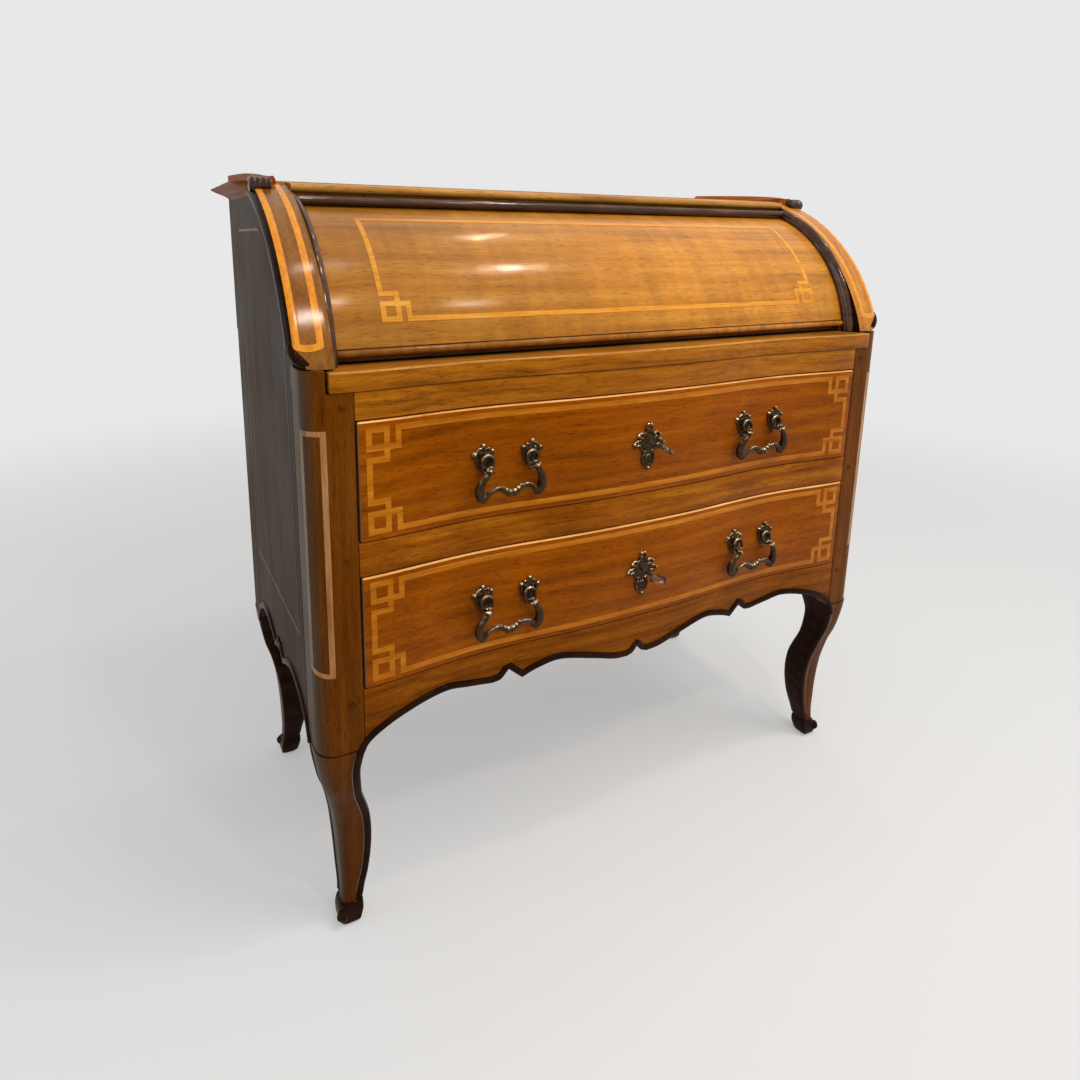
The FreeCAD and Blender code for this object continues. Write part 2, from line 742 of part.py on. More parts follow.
def escutcheon():
    face = -drawer_proud
    front = face - plate_thick
    right = [V(plate_half_width * x, front, plate_half_height * z) for x, z in plate_shares]
    left = [V(-p.x, p.y, p.z) for p in reversed(right[1:-1])]
    plate = loop(*right, *left).extrude(V(0, plate_thick, 0))
    balls = [V(0, front, plate_half_height), V(0, front, -plate_half_height)]
    side_ball = plate_half_height * plate_ball_share
    balls += [V(x, front, side_ball) for x in (-plate_half_width, plate_half_width)]
    bosses = [rod(plate_ball, b, b + V(0, plate_thick, 0)) for b in balls]
    plate = fused([plate] + bosses)
    hole = key_hole(key_shank + key_hole_gap, key_bit_reach + key_hole_gap, front - overrun, face + overrun)
    return plate.cut(hole)


def handle_posts(x, z, front):
    # Turned post with its rosette, stem and nut, for one end of a bail
    surface = front_line(x) - drawer_proud
    eye = V(x, eye_depth, z)
    base = V(x, surface - rosette_thick, z)
    seat = V(x, surface + rosette_thick, z)
    end = V(x, rail_thick + nut_thick + stem_spare, z)
    stem = rod(post_stem, base, end)
    rosette = rod(rosette_radius, base, seat).cut(front)
    neck = rod(post_neck, eye, base)
    head = Part.makeSphere(post_head, eye)
    hole = rod(bail_wire + bail_fit, eye - V(post_head * 2, 0, 0), eye + V(post_head * 2, 0, 0))
    post_solid = fused([rosette, neck, head, stem]).cut(hole)
    inside = V(x, rail_thick, z)
    nut = rod(nut_radius, inside, inside + V(0, nut_thick, 0))
    nut = nut.cut(rod(post_stem + stem_fit, inside - V(0, overrun, 0), end))
    return [post_solid, nut]


def bent_path(points, bend):
    # Straight runs joined by tangent arcs of one radius
    edges = []
    start = points[0]
    for before, corner, after in zip(points, points[1:], points[2:]):
        into = (before - corner).normalize()
        out = (after - corner).normalize()
        half_angle = into.getAngle(out) / 2
        reach = bend / math.tan(half_angle)
        first = corner + into * reach
        last = corner + out * reach
        middle = corner + (into + out).normalize() * (bend / math.sin(half_angle) - bend)
        edges.append(Part.makeLine(start, first))
        edges.append(Part.Arc(first, middle, last).toShape())
        start = last
    edges.append(Part.makeLine(start, points[-1]))
    return Part.Wire(edges)


def bail(x, z):
    half = [(handle_pitch / 2 * eye_end_share, 0)]
    half += [(bail_half * a, bail_drop * d) for a, d in bail_shares]
    right = [V(x + a, eye_depth, z - d) for a, d in half]
    left = [V(2 * x - p.x, p.y, p.z) for p in reversed(right[:-1])]
    path = bent_path(right + left, bail_bend)
    ring = Part.Wire(Part.makeCircle(bail_wire, right[0], V(1, 0, 0)))
    wire = path.makePipeShell([ring], True, True)
    low = right[-1]
    reach = V(bail_collar_length / 2, 0, 0)
    return fused([wire, rod(bail_collar, low - reach, low + reach)])


def drawer(name, floor, turn):
    head = floor + drawer_opening - drawer_gap
    middle = floor + drawer_opening / 2
    half = half_opening - drawer_gap
    front = front_block(half, drawer_proud, rail_thick, floor + drawer_gap, head)
    shown = [e for e in front.Edges if e.BoundBox.YMax < front_dip and e.Length > half]
    front = front.makeFillet(drawer_edge, shown)
    lock_space, lock_case, bolt = lock(middle, head)
    hole = key_hole(key_shank + key_hole_gap, key_bit_reach + key_hole_gap, -rail_thick, rail_thick)
    front = front.cut(lock_space).cut(hole.translated(V(0, 0, middle)))
    hardware = []
    post_height = middle + handle_lift
    for side, place in (("left", -handle_place), ("right", handle_place)):
        for x in (place - handle_pitch / 2, place + handle_pitch / 2):
            hardware += handle_posts(x, post_height, front)
            stem_hole = rod(post_stem + stem_fit, V(x, -rail_thick, post_height), V(x, post, post_height))
            front = front.cut(stem_hole)
        save("bail_" + name + "_" + side, bail(place, post_height))
    outer = half_opening - drawer_side_gap
    inner = outer - drawer_board
    rear = rail_thick + drawer_length
    side_top = floor + drawer_side_height
    side = box((inner, rail_thick, floor), (outer, rear, side_top))
    bottom_low = floor + drawer_bottom_lift
    bottom_high = bottom_low + drawer_bottom_thick
    bottom = box((-inner, rail_thick, bottom_low), (inner, rear, bottom_high))
    back = box((-inner, rear - drawer_board, bottom_high), (inner, rear, side_top - drawer_back_drop))
    save(name + "_drawer_front", front)
    save(name + "_drawer_box", side, mirrored(side), back)
    save(name + "_drawer_bottom", bottom)
    save(name + "_lock_case", lock_case)
    save(name + "_lock_bolt", bolt)
    save(name + "_key", key(turn).translated(V(0, 0, middle)))
    save(name + "_escutcheon", escutcheon().translated(V(0, 0, middle)))
    save(name + "_handle_posts", *hardware)


def gradin():
    shelf_low = gradin_floor + (gradin_height - gradin_board) * gradin_shelf_share
    rear = gradin_back - gradin_back_thick
    shelves = []
    for low in (gradin_floor, shelf_low, gradin_top - gradin_board):
        shelves.append(box((-cheek_inner, gradin_front, low), (cheek_inner, rear, low + gradin_board)))
    save("gradin_shelves", *shelves)
    span = cheek_inner - gradin_board / 2
    tiers = ((gradin_floor + gradin_board, shelf_low), (shelf_low + gradin_board, gradin_top - gradin_board))
    uprights = []
    for share in gradin_upright_shares:
        start = span * share - gradin_board / 2
        for low, high in tiers:
            uprights.append(box((start, gradin_front, low), (start + gradin_board, rear, high)))
    save("gradin_uprights", *uprights)
    low = (-cheek_inner, rear, gradin_floor)
    save("gradin_back", box(low, (cheek_inner, gradin_back, gradin_top)))
    bay_low = span * gradin_upright_shares[-2] + gradin_board / 2
    bay_high = span * gradin_upright_shares[-1] - gradin_board / 2
    small_drawer(bay_low + small_gap, bay_high - small_gap, *tiers[0])


def small_drawer(left, right, floor, ceiling):
    front_back = gradin_front + small_front
    rear = gradin_back - gradin_back_thick - small_board
    front = box((left, gradin_front, floor), (right, front_back, ceiling - small_gap))
    side_top = ceiling - small_board
    bottom = box((left, front_back, floor), (right, rear, floor + small_board))
    side = box((left, front_back, floor + small_board), (left + small_board, rear, side_top))
    other = side.translated(V(right - left - small_board, 0, 0))
    back_low = (left + small_board, rear - small_board, floor + small_board)
    back = box(back_low, (right - small_board, rear, side_top))
    save("small_drawer_right_tray", bottom, side, other, back)
    save("small_drawer_left_tray", *[mirrored(s) for s in (bottom, side, other, back)])
    middle = V((left + right) / 2, gradin_front, (floor + ceiling) / 2)
    neck = rod(small_knob_neck, middle, middle - V(0, small_knob_reach - small_knob, 0))
    ball = Part.makeSphere(small_knob, middle - V(0, small_knob_reach - small_knob, 0))
    knob = fused([neck, ball])
    save("small_drawer_right_front", front, knob)
    save("small_drawer_left_front", mirrored(front), mirrored(knob))


def main():
    os.makedirs("parts", exist_ok=True)
    legs()
    aprons()
    rails()
    side_panels()
    inner_sides()
    cheeks()
    opening_beads()
    top_board()
    cornice()
    back_boards()
    inside_case()
    cylinder()
    slide()
    drawer("upper", upper_floor, upper_key_turn)
    drawer("lower", lower_floor, lower_key_turn)
    gradin()


main()
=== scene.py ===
import math
import bpy
from mathutils import Matrix, Vector


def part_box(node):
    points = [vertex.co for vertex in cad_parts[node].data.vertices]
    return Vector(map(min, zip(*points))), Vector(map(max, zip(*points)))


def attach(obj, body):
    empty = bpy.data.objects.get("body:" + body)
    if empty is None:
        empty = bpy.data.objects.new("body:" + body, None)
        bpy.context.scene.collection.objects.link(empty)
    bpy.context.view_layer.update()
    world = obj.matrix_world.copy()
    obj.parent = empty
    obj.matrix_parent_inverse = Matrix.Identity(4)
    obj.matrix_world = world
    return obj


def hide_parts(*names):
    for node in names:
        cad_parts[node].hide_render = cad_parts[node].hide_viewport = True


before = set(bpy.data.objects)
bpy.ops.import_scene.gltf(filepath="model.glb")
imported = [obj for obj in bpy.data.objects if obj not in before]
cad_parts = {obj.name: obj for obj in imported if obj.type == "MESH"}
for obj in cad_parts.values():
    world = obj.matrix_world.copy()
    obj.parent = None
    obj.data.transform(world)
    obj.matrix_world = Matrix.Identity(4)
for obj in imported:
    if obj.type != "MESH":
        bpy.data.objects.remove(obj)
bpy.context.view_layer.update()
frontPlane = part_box("top_rail")[0].y  # front of the stiles, from which depths are counted

# Main lines of the case, in millimetres from the middle, from the front plane and from the floor
desk = {"half": 513, "back": 490, "middle": 245, "stileTop": 789.6, "earStep": 14.2, "cheekFoot": 818, "head": 1032,
        "top": 1050}


# Working helpers: places are given in millimetres, as (across, depth, height)

def spot(x, y, z):
    return Vector((x / 1000, y / 1000 + frontPlane, z / 1000))


def inMm(point):
    return point.x * 1000, (point.y - frontPlane) * 1000, point.z * 1000


def between(a, b, share):
    return a + (b - a) * share


def arc(start, end, count):  # (cosine, sine) at even steps between two angles in degrees
    turns = [math.radians(between(start, end, n / count)) for n in range(count + 1)]
    return [(math.cos(turn), math.sin(turn)) for turn in turns]


def easeThrough(a, b, c, d, t):  # even curve from b to c, with a and d as their neighbours
    return 0.5 * (2 * b + (c - a) * t + (2 * a - 5 * b + 4 * c - d) * t * t + (3 * b - a - 3 * c + d) * t ** 3)


def smoothPath(points, steps):  # an even curve through the points
    ends = [points[0] * 2 - points[1]] + list(points) + [points[-1] * 2 - points[-2]]
    path = []
    for a, b, c, d in zip(ends, ends[1:], ends[2:], ends[3:]):
        path += [easeThrough(a, b, c, d, step / steps) for step in range(steps)]
    return path + [points[-1]]


def pickNone():
    if bpy.context.mode != "OBJECT":
        bpy.ops.object.mode_set(mode="OBJECT")
    bpy.ops.object.select_all(action="DESELECT")


def takeUp(piece):
    pickNone()
    piece.select_set(True)
    bpy.context.view_layer.objects.active = piece


def editAll(piece):
    takeUp(piece)
    bpy.ops.object.mode_set(mode="EDIT")
    bpy.ops.mesh.select_all(action="SELECT")


def pickIn(piece, kind, test):  # faces or edges for which the test holds
    editAll(piece)
    bpy.ops.mesh.select_mode(type=kind)
    bpy.ops.mesh.select_all(action="DESELECT")
    bpy.ops.object.mode_set(mode="OBJECT")
    for part in piece.data.polygons if kind == "FACE" else piece.data.edges:
        part.select = test(part)
    bpy.ops.object.mode_set(mode="EDIT")


def closeUp(piece):  # joins the seam, fills open ends, turns every face outwards
    editAll(piece)
    bpy.ops.mesh.remove_doubles(threshold=1e-6)
    bpy.ops.mesh.select_all(action="SELECT")
    bpy.ops.mesh.fill_holes(sides=0)
    bpy.ops.mesh.select_all(action="SELECT")
    bpy.ops.mesh.normals_make_consistent(inside=False)
    pickNone()


def useModifier(piece, kind, **settings):
    takeUp(piece)
    modifier = piece.modifiers.new("Finish", kind)
    for key, value in settings.items():
        setattr(modifier, key, value)
    bpy.ops.object.modifier_apply(modifier=modifier.name)


def softenEdges(piece, width, turn=40):
    useModifier(piece, "BEVEL", width=width / 1000, segments=3, limit_method="ANGLE", angle_limit=math.radians(turn))


def sawBlock(name, low, high):  # a plain block between two corners, to be worked further
    pickNone()
    bpy.ops.mesh.primitive_cube_add(size=1, location=(low + high) / 2, scale=high - low)
    piece = bpy.context.object
    piece.name = name
    bpy.ops.object.transform_apply(location=True, rotation=True, scale=True)
    return piece


def cutPocket(piece, low, high):  # a mortise with square corners
    chisel = sawBlock("chisel", low, high)
    useModifier(piece, "BOOLEAN", object=chisel, operation="DIFFERENCE", solver="EXACT")
    takeUp(chisel)
    bpy.ops.object.delete()


def layGrid(name, columns, rows, place):  # a grid whose points are set one by one
    pickNone()
    bpy.ops.mesh.primitive_grid_add(x_subdivisions=columns, y_subdivisions=rows, size=1)
    piece = bpy.context.object
    piece.name = name
    for point in piece.data.vertices:
        column = round((point.co.x + 0.5) * columns)
        row = round((point.co.y + 0.5) * rows)
        point.co = place(column, row)
    return piece


def rollGrid(name, ring, rows, place):  # a closed outline carried through the rows, with its ends filled
    count = len(ring)
    piece = layGrid(name, count, rows, lambda column, row: place(ring[column % count], row))
    closeUp(piece)
    return piece


def pushProfile(name, profile, half):  # outline of (depth, height), pushed across the desk from -half to half
    pickNone()
    bpy.ops.mesh.primitive_circle_add(vertices=len(profile), radius=1, fill_type="NGON")
    piece = bpy.context.object
    piece.name = name
    for point, (y, z) in zip(piece.data.vertices, profile):
        point.co = spot(-half, y, z)
    editAll(piece)
    bpy.ops.mesh.extrude_region_move(TRANSFORM_OT_translate={"value": (2 * half / 1000, 0, 0)})
    closeUp(piece)
    return piece


def turnOver(piece):  # faces point outwards again after mirroring
    editAll(piece)
    bpy.ops.mesh.flip_normals()
    pickNone()


def copyPiece(piece, name, mirrored=False, place=Vector((0, 0, 0))):
    takeUp(piece)
    bpy.ops.object.duplicate(linked=False)
    twin = bpy.context.object
    twin.name = name
    for point in twin.data.vertices:
        if mirrored:
            point.co.x = -point.co.x
        point.co += place
    if mirrored:
        turnOver(twin)
    pickNone()
    return twin


def joinUp(name, pieces):
    pickNone()
    for piece in pieces:
        piece.select_set(True)
    bpy.context.view_layer.objects.active = pieces[0]
    bpy.ops.object.join()
    pieces[0].name = name
    return pieces[0]


def handOver(piece, body, slot, finish, *nodes, smooth=35):
    takeUp(piece)
    bpy.ops.object.shade_smooth_by_angle(angle=math.radians(smooth))
    piece.data.materials.clear()
    piece.data.materials.append(finishes[finish])
    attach(piece, body)
    if nodes:
        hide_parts(*nodes)
    return piece


def handOverPair(piece, name, slot, finish, node=None, smooth=35):  # the right piece and its mirror image
    pair = {"_right": piece, "_left": copyPiece(piece, name + "_left", mirrored=True)}
    for side, half in pair.items():
        half.name = name + side
        handOver(half, "case", slot, finish, *([node + side] if node else []), smooth=smooth)
    return list(pair.values())


def dressFaces(piece, pick, *names):  # pick gives each face 0 for its own finish, or 1, 2 for a named one
    for name in names:
        piece.data.materials.append(finishes[name])
    for face in piece.data.polygons:
        face.material_index = int(pick(face))


# Colours and nodes

def hexColour(code):
    parts = [int(code[i:i + 2], 16) / 255 for i in (1, 3, 5)]
    return tuple(p / 12.92 if p <= 0.04045 else ((p + 0.055) / 1.055) ** 2.4 for p in parts) + (1.0,)


def setSockets(tree, node, links=None, values=None):
    for key, value in (values or {}).items():
        node.inputs[key].default_value = value
    for key, source in (links or {}).items():
        tree.links.new(source, node.inputs[key])


def addNode(tree, kind, links=None, values=None, stops=None, **settings):
    node = tree.nodes.new(kind)
    for key, value in settings.items():
        setattr(node, key, value)
    setSockets(tree, node, links, values)
    if stops:
        ramp = node.color_ramp
        while len(ramp.elements) < len(stops):
            ramp.elements.new(1.0)
        for element, (place, colour) in zip(ramp.elements, stops):
            element.position = place
            element.color = hexColour(colour) if isinstance(colour, str) else (colour, colour, colour, 1.0)
    return node


def rangeOf(*limits):  # from lowest, from highest, to lowest, to highest, as Map Range numbers its sockets
    return dict(enumerate(limits, 1))


def newFinish(name):
    finish = bpy.data.materials.new(name)
    finish.use_nodes = True
    tree = finish.node_tree
    tree.nodes.clear()
    surface = addNode(tree, "ShaderNodeBsdfPrincipled")
    addNode(tree, "ShaderNodeOutputMaterial", {"Surface": surface.outputs["BSDF"]})
    place = addNode(tree, "ShaderNodeTexCoord")
    return finish, tree, surface, place.outputs["Object"]


# Wood, French polished: streaks and growth rings run with the grain, short dark pores lie in them,
# and the shellac film over them is slightly wavy, so lamps show as soft smears on it
plainWood = {
    "sway": 16, "swayLength": 210, "pith": 70, "ring": 24, "patch": 160,  # millimetres
    "mix": (0.62, 0.08, 0.30),  # shares of streaks, rings and patches in the figure
    "pore": 0.55, "poreSize": (16, 1.5),  # pores drawn coarse to show
    "rough": (0.34, 0.5), "wave": 0.25, "waveLength": 60,
    "tint": "#E88E34", "shine": 0.5, "coat": 0.0, "film": 0.16,  # film is the roughness of the coat
}
figureStops = (0.30, 0.50, 0.68)  # heartwood, middle and pale wood
ringWave = 314  # millimetres from ring to ring at a wave scale of 1


def polishedWood(look):
    look = {**plainWood, **look}
    finish, tree, surface, place = newFinish(look["name"])
    along = "xyz".index(look["grain"])

    def stretched(length, width):  # millimetres along and across the grain
        sizes = [1000 / width] * 3
        sizes[along] = 1000 / length
        return sizes

    bend = [look["sway"] / 1000] * 3
    bend[along] = 0
    sway = addNode(tree, "ShaderNodeTexNoise", {"Vector": place}, {"Scale": 1000 / look["swayLength"], "Detail": 2.0})
    swayed = addNode(
        tree, "ShaderNodeVectorMath", {0: sway.outputs["Color"], 2: place}, {1: bend}, operation="MULTIPLY_ADD",
    )
    wavy = swayed.outputs[0]
    streakPlace = addNode(tree, "ShaderNodeMapping", {"Vector": wavy}, {"Scale": stretched(*look["streak"])})
    streak = addNode(
        tree, "ShaderNodeTexNoise", {"Vector": streakPlace.outputs[0]}, {"Scale": 1.0, "Detail": 6.0, "Roughness": 0.62},
    )
    pith = [0.0, look["pith"] / 1000, look["pith"] / 1400]  # the rings' middle lies off the surface
    ringPlace = addNode(tree, "ShaderNodeMapping", {"Vector": wavy}, {"Location": pith})
    rings = addNode(
        tree, "ShaderNodeTexWave", {"Vector": ringPlace.outputs[0]},
        {"Scale": ringWave / look["ring"], "Distortion": 1.2, "Detail": 2.0, "Detail Scale": 0.6},
        wave_type="RINGS", rings_direction=look["grain"].upper(),
    )
    patches = addNode(tree, "ShaderNodeTexNoise", {"Vector": place}, {"Scale": 1000 / look["patch"], "Detail": 3.0})
    figure = None
    for layer, share in zip((streak, rings, patches), look["mix"]):
        links = {0: layer.outputs["Fac"]}
        if figure is not None:
            links[2] = figure
        figure = addNode(tree, "ShaderNodeMath", links, {1: share, 2: 0.0}, operation="MULTIPLY_ADD").outputs[0]
    ground = addNode(tree, "ShaderNodeValToRGB", {"Fac": figure}, stops=list(zip(figureStops, look["colours"])))
    porePlace = addNode(tree, "ShaderNodeMapping", {"Vector": wavy}, {"Scale": stretched(*look["poreSize"])})
    pores = addNode(tree, "ShaderNodeTexNoise", {"Vector": porePlace.outputs[0]}, {"Scale": 1.0, "Detail": 2.0})
    poreCut = addNode(
        tree, "ShaderNodeValToRGB", {"Fac": pores.outputs["Fac"]}, stops=[(0.30, look["pore"]), (0.46, 1.0)],
    )
    tones = [poreCut]  # what darkens the ground, in turn
    if "ripple" in look:  # bands of lighter figure across the grain
        sizes = [1000 / size for size in look["ripple"]]
        ripplePlace = addNode(tree, "ShaderNodeMapping", {"Vector": wavy}, {"Scale": sizes})
        ripple = addNode(tree, "ShaderNodeTexNoise", {"Vector": ripplePlace.outputs[0]}, {"Scale": 1.0, "Detail": 2.0})
        tones.append(addNode(
            tree, "ShaderNodeValToRGB", {"Fac": ripple.outputs["Fac"]}, stops=[(0.35, 0.82), (0.65, 1.0)],
        ))
    if "shade" in look:  # darker towards one end: (axis, from mm, to mm, factor at the first)
        axis, start, end, factor = look["shade"]
        split = addNode(tree, "ShaderNodeSeparateXYZ", {0: place})
        tones.append(addNode(
            tree, "ShaderNodeMapRange", {0: split.outputs[axis]}, rangeOf(start / 1000, end / 1000, factor, 1.0),
            interpolation_type="SMOOTHSTEP",
        ))
    colour = ground.outputs[0]
    for tone in tones:
        laid = addNode(
            tree, "ShaderNodeMix", {6: colour, 7: tone.outputs[0]}, {0: 1.0}, data_type="RGBA", blend_type="MULTIPLY",
        )
        colour = laid.outputs[2]
    if "paintedSideGrey" in look:  # grey where the corner turns to the side: a painted reflection of cool side light
        facing = addNode(tree, "ShaderNodeNewGeometry")
        turned = addNode(tree, "ShaderNodeSeparateXYZ", {0: facing.outputs["Normal"]})
        sideways = addNode(tree, "ShaderNodeMath", {0: turned.outputs[0]}, operation="ABSOLUTE")
        share = addNode(
            tree, "ShaderNodeMapRange", {0: sideways.outputs[0]}, rangeOf(0.35, 0.95), interpolation_type="SMOOTHSTEP",
        )
        grey = addNode(tree, "ShaderNodeValToRGB", {"Fac": figure}, stops=list(zip(figureStops, look["paintedSideGrey"])))
        paintedSideSheen = addNode(
            tree, "ShaderNodeMix", {0: share.outputs[0], 6: colour, 7: grey.outputs[0]}, data_type="RGBA",
        )
        colour = paintedSideSheen.outputs[2]
    gloss = addNode(tree, "ShaderNodeMapRange", {0: patches.outputs["Fac"]}, rangeOf(0.3, 0.7, *look["rough"]))
    uneven = addNode(tree, "ShaderNodeTexNoise", {"Vector": place}, {"Scale": 1000 / look["waveLength"], "Detail": 1.0})
    wave = addNode(
        tree, "ShaderNodeBump", {"Height": uneven.outputs["Fac"]}, {"Strength": look["wave"], "Distance": 0.003},
    )
    fine = addNode(
        tree, "ShaderNodeBump", {"Height": poreCut.outputs[0], "Normal": wave.outputs[0]},
        {"Strength": 0.18, "Distance": 0.0004},
    )
    setSockets(tree, surface, {
        "Base Color": colour, "Roughness": gloss.outputs[0], "Normal": fine.outputs[0], "Coat Normal": wave.outputs[0],
    }, {
        "IOR": 1.5, "Specular Tint": hexColour(look["tint"]), "Specular IOR Level": look["shine"],
        "Coat Weight": look["coat"], "Coat Roughness": look["film"], "Coat IOR": 1.5,
    })
    return finish


woods = {
    "walnutDrawers": {  # quiet red-brown veneer with long streaks, waxed more than polished
        "name": "walnut_drawer_fronts", "grain": "x", "colours": ("#653102", "#874303", "#9B5407"), "streak": (300, 9),
        "ring": 30, "pith": 90, "tint": "#E07A10", "shine": 0.17,
    },
    "walnutRails": {  # livelier solid wood between the drawers
        "name": "walnut_rails", "grain": "x", "colours": ("#532D03", "#894907", "#A86B14"), "streak": (160, 8),
        "tint": "#E07A10", "shine": 0.2,
    },
    "walnutApron": {  # the same wood, darker towards its lower edge
        "name": "walnut_apron", "grain": "x", "colours": ("#4A2602", "#7A4005", "#93560D"), "streak": (180, 8),
        "shade": (2, 305, 392, 0.75), "tint": "#E07A10", "shine": 0.15,
    },
    "walnutPosts": {  # deep brown, with a painted grey reflection on the rounded corner and painted shade darker down the leg
        "name": "walnut_stiles_and_legs", "grain": "z", "colours": ("#472404", "#5F3105", "#6E3E0E"), "streak": (180, 7),
        "shade": (2, 240, 340, 0.72), "paintedSideGrey": ("#322518", "#41301F", "#4E3C2A"), "shine": 0.12,
    },
    "walnutPegs": {  # end grain, a dull dark dot in the stile
        "name": "walnut_end_grain_pegs", "grain": "y", "colours": ("#2E1604", "#4A2808", "#5C360E"), "streak": (60, 5),
        "shine": 0.1,
    },
    "walnutSides": {  # grey-brown and nearly matt, with broad upright streaks
        "name": "walnut_side_panels", "grain": "z", "colours": ("#21170C", "#382716", "#4C3820"), "streak": (320, 14),
        "rough": (0.45, 0.6), "tint": "#F0D0A8", "shine": 0.06,
    },
    "walnutCylinder": {  # golden veneer under a thick film that mirrors the lamps, with painted shade darker at the left
        "name": "walnut_veneer_cylinder", "grain": "x", "colours": ("#935D18", "#BA781F", "#CC8E35"), "streak": (300, 12),
        "ring": 34, "pith": 40, "ripple": (24, 160, 160), "coat": 0.35, "film": 0.15, "rough": (0.3, 0.42), "wave": 0.3,
        "shade": (0, -470, 250, 0.62),
    },
    "walnutCheeks": {  # glossy like the cylinder, with painted shade darker on the left and painted light on the right, also on the foot rail
        "name": "walnut_cheeks", "grain": "z", "colours": ("#7C4814", "#AA6A1A", "#C0822C"), "streak": (160, 7),
        "coat": 0.35, "film": 0.15, "rough": (0.3, 0.42), "shade": (0, -470, 470, 0.45),
    },
    "cherrySlideAndLitRail": {  # fine-grained yellow-brown edge; on the top rail it is painted light against the shade under the slide
        "name": "cherry_slide_edge_and_lit_top_rail", "grain": "x", "colours": ("#5D3406", "#94550D", "#AE7118"), "streak": (180, 6),
    },
    "cherryTopAndHighlight": {  # paler, lighter as painted light on the top board, with some polish left; also the painted highlight on the slide's top arris
        "name": "cherry_top_and_painted_highlight", "grain": "x", "colours": ("#7A4F1A", "#A87630", "#BF9247"), "streak": (200, 8), "coat": 0.2,
    },
    "cherryCornice": {  # red-brown and dull
        "name": "red_cherry_cornice", "grain": "y", "colours": ("#552606", "#8A450F", "#A45E18"), "streak": (160, 7),
        "rough": (0.4, 0.55), "shine": 0.05,
    },
    "oakInside": {  # waxed oak: straight streaks, deep pores, hardly any gloss
        "name": "oak_inside", "grain": "y", "colours": ("#6E5433", "#937347", "#B08F5F"), "streak": (200, 5),
        "mix": (0.70, 0.0, 0.30), "coat": 0.05, "rough": (0.55, 0.75), "pore": 0.45,
    },
    "walnutBack": {  # unpolished and dusty
        "name": "walnut_back_rail", "grain": "x", "colours": ("#2E1D0E", "#46301A", "#5A4026"), "streak": (220, 9),
        "rough": (0.55, 0.75), "shine": 0.12,
    },
    "oakBack": {  # bare oak, greyed by age
        "name": "oak_back_boards", "grain": "z", "colours": ("#4A3A26", "#695236", "#7E6748"), "streak": (260, 7),
        "rough": (0.6, 0.8), "pore": 0.45, "shine": 0.15,
    },
    "oakBackDark": {  # a darker board of the same oak
        "name": "oak_back_boards_dark", "grain": "z", "colours": ("#3E3020", "#5A452C", "#70583A"), "streak": (220, 6),
        "pith": 240, "rough": (0.6, 0.8), "pore": 0.45, "shine": 0.15,
    },
    "fruitwoodInside": {  # warm brown, lightly polished
        "name": "fruitwood_inner_fitting", "grain": "x", "colours": ("#6B3F17", "#935F27", "#AD793B"), "streak": (180, 6),
        "coat": 0.2,
    },
    "darkWalnutAndShade": {  # stained and highly polished, so it shows sharp highlights; also painted shade in the foot rail's groove and rebate
        "name": "dark_stained_moulding", "grain": "x", "colours": ("#170A04", "#321A0C", "#5C3A1D"), "streak": (90, 9),
        "patch": 60, "coat": 0.7, "film": 0.1, "rough": (0.25, 0.4), "shine": 0.25,
    },
    "blackMouldingAndShade": {  # blackened, the polish worn off; also painted shade on undersides, inner faces and the rear legs
        "name": "blackened_moulding", "grain": "x", "colours": ("#0E0604", "#1E0E07", "#321C0C"), "streak": (90, 9),
        "coat": 0.06, "film": 0.12, "rough": (0.25, 0.4), "shine": 0.05,
    },
    "boxwood": {  # yellowed close-grained strips, hardly any pores
        "name": "boxwood_stringing", "grain": "x", "colours": ("#8A4A0A", "#AC6410", "#C07C22"), "streak": (70, 6),
        "pore": 0.8,
    },
    "boxwoodCylinder": {  # brighter under the cylinder's film, with painted shade towards the left
        "name": "boxwood_cylinder_stringing", "grain": "x", "colours": ("#B06A12", "#D18A22", "#DCA040"), "streak": (70, 6),
        "pore": 0.8, "coat": 0.35, "film": 0.15, "shade": (0, -470, 100, 0.86),
    },
    "boxwoodCheeks": {  # orange bands, glossy
        "name": "boxwood_cheek_bands", "grain": "z", "colours": ("#B0640E", "#D0831F", "#D99A39"), "streak": (60, 6),
        "pore": 0.8, "coat": 0.35, "film": 0.15,
    },
    "boxwoodFaded": {  # grey-brown line on the side panels
        "name": "boxwood_faded_stringing", "grain": "z", "colours": ("#4E3D2A", "#645040", "#76624C"), "streak": (60, 5),
        "pore": 0.8, "shine": 0.1,
    },
    "boxwoodLost": {  # a line that has nearly sunk into the panel
        "name": "boxwood_darkened_stringing", "grain": "z", "colours": ("#30241A", "#483828", "#5A4834"), "streak": (60, 5),
        "pore": 0.8, "shine": 0.1,
    },
    "boxwoodGreySheen": {  # pale grey on drawer ends, side-facing stile lines and the leg's quirk edge: painted reflection and highlight
        "name": "boxwood_painted_grey_sheen", "grain": "z", "colours": ("#4E4236", "#6C5C4A", "#84725C"), "streak": (60, 5),
        "pore": 0.8,
    },
    "boxwoodStile": {  # pinkish line on the corner stile
        "name": "boxwood_stile_stringing", "grain": "z", "colours": ("#7A4C22", "#9C6E46", "#B08860"), "streak": (60, 5),
        "pore": 0.8, "shine": 0.35,
    },
    "arrisHighlight": {  # top edge of a drawer, pale and shiny: a painted highlight
        "name": "walnut_painted_arris_highlight", "grain": "x", "colours": ("#B0702C", "#DCA05C", "#F0BE86"), "streak": (120, 6),
        "pore": 0.8, "coat": 0.4, "film": 0.22,
    },
}
finishes = {key: polishedWood(look) for key, look in woods.items()}
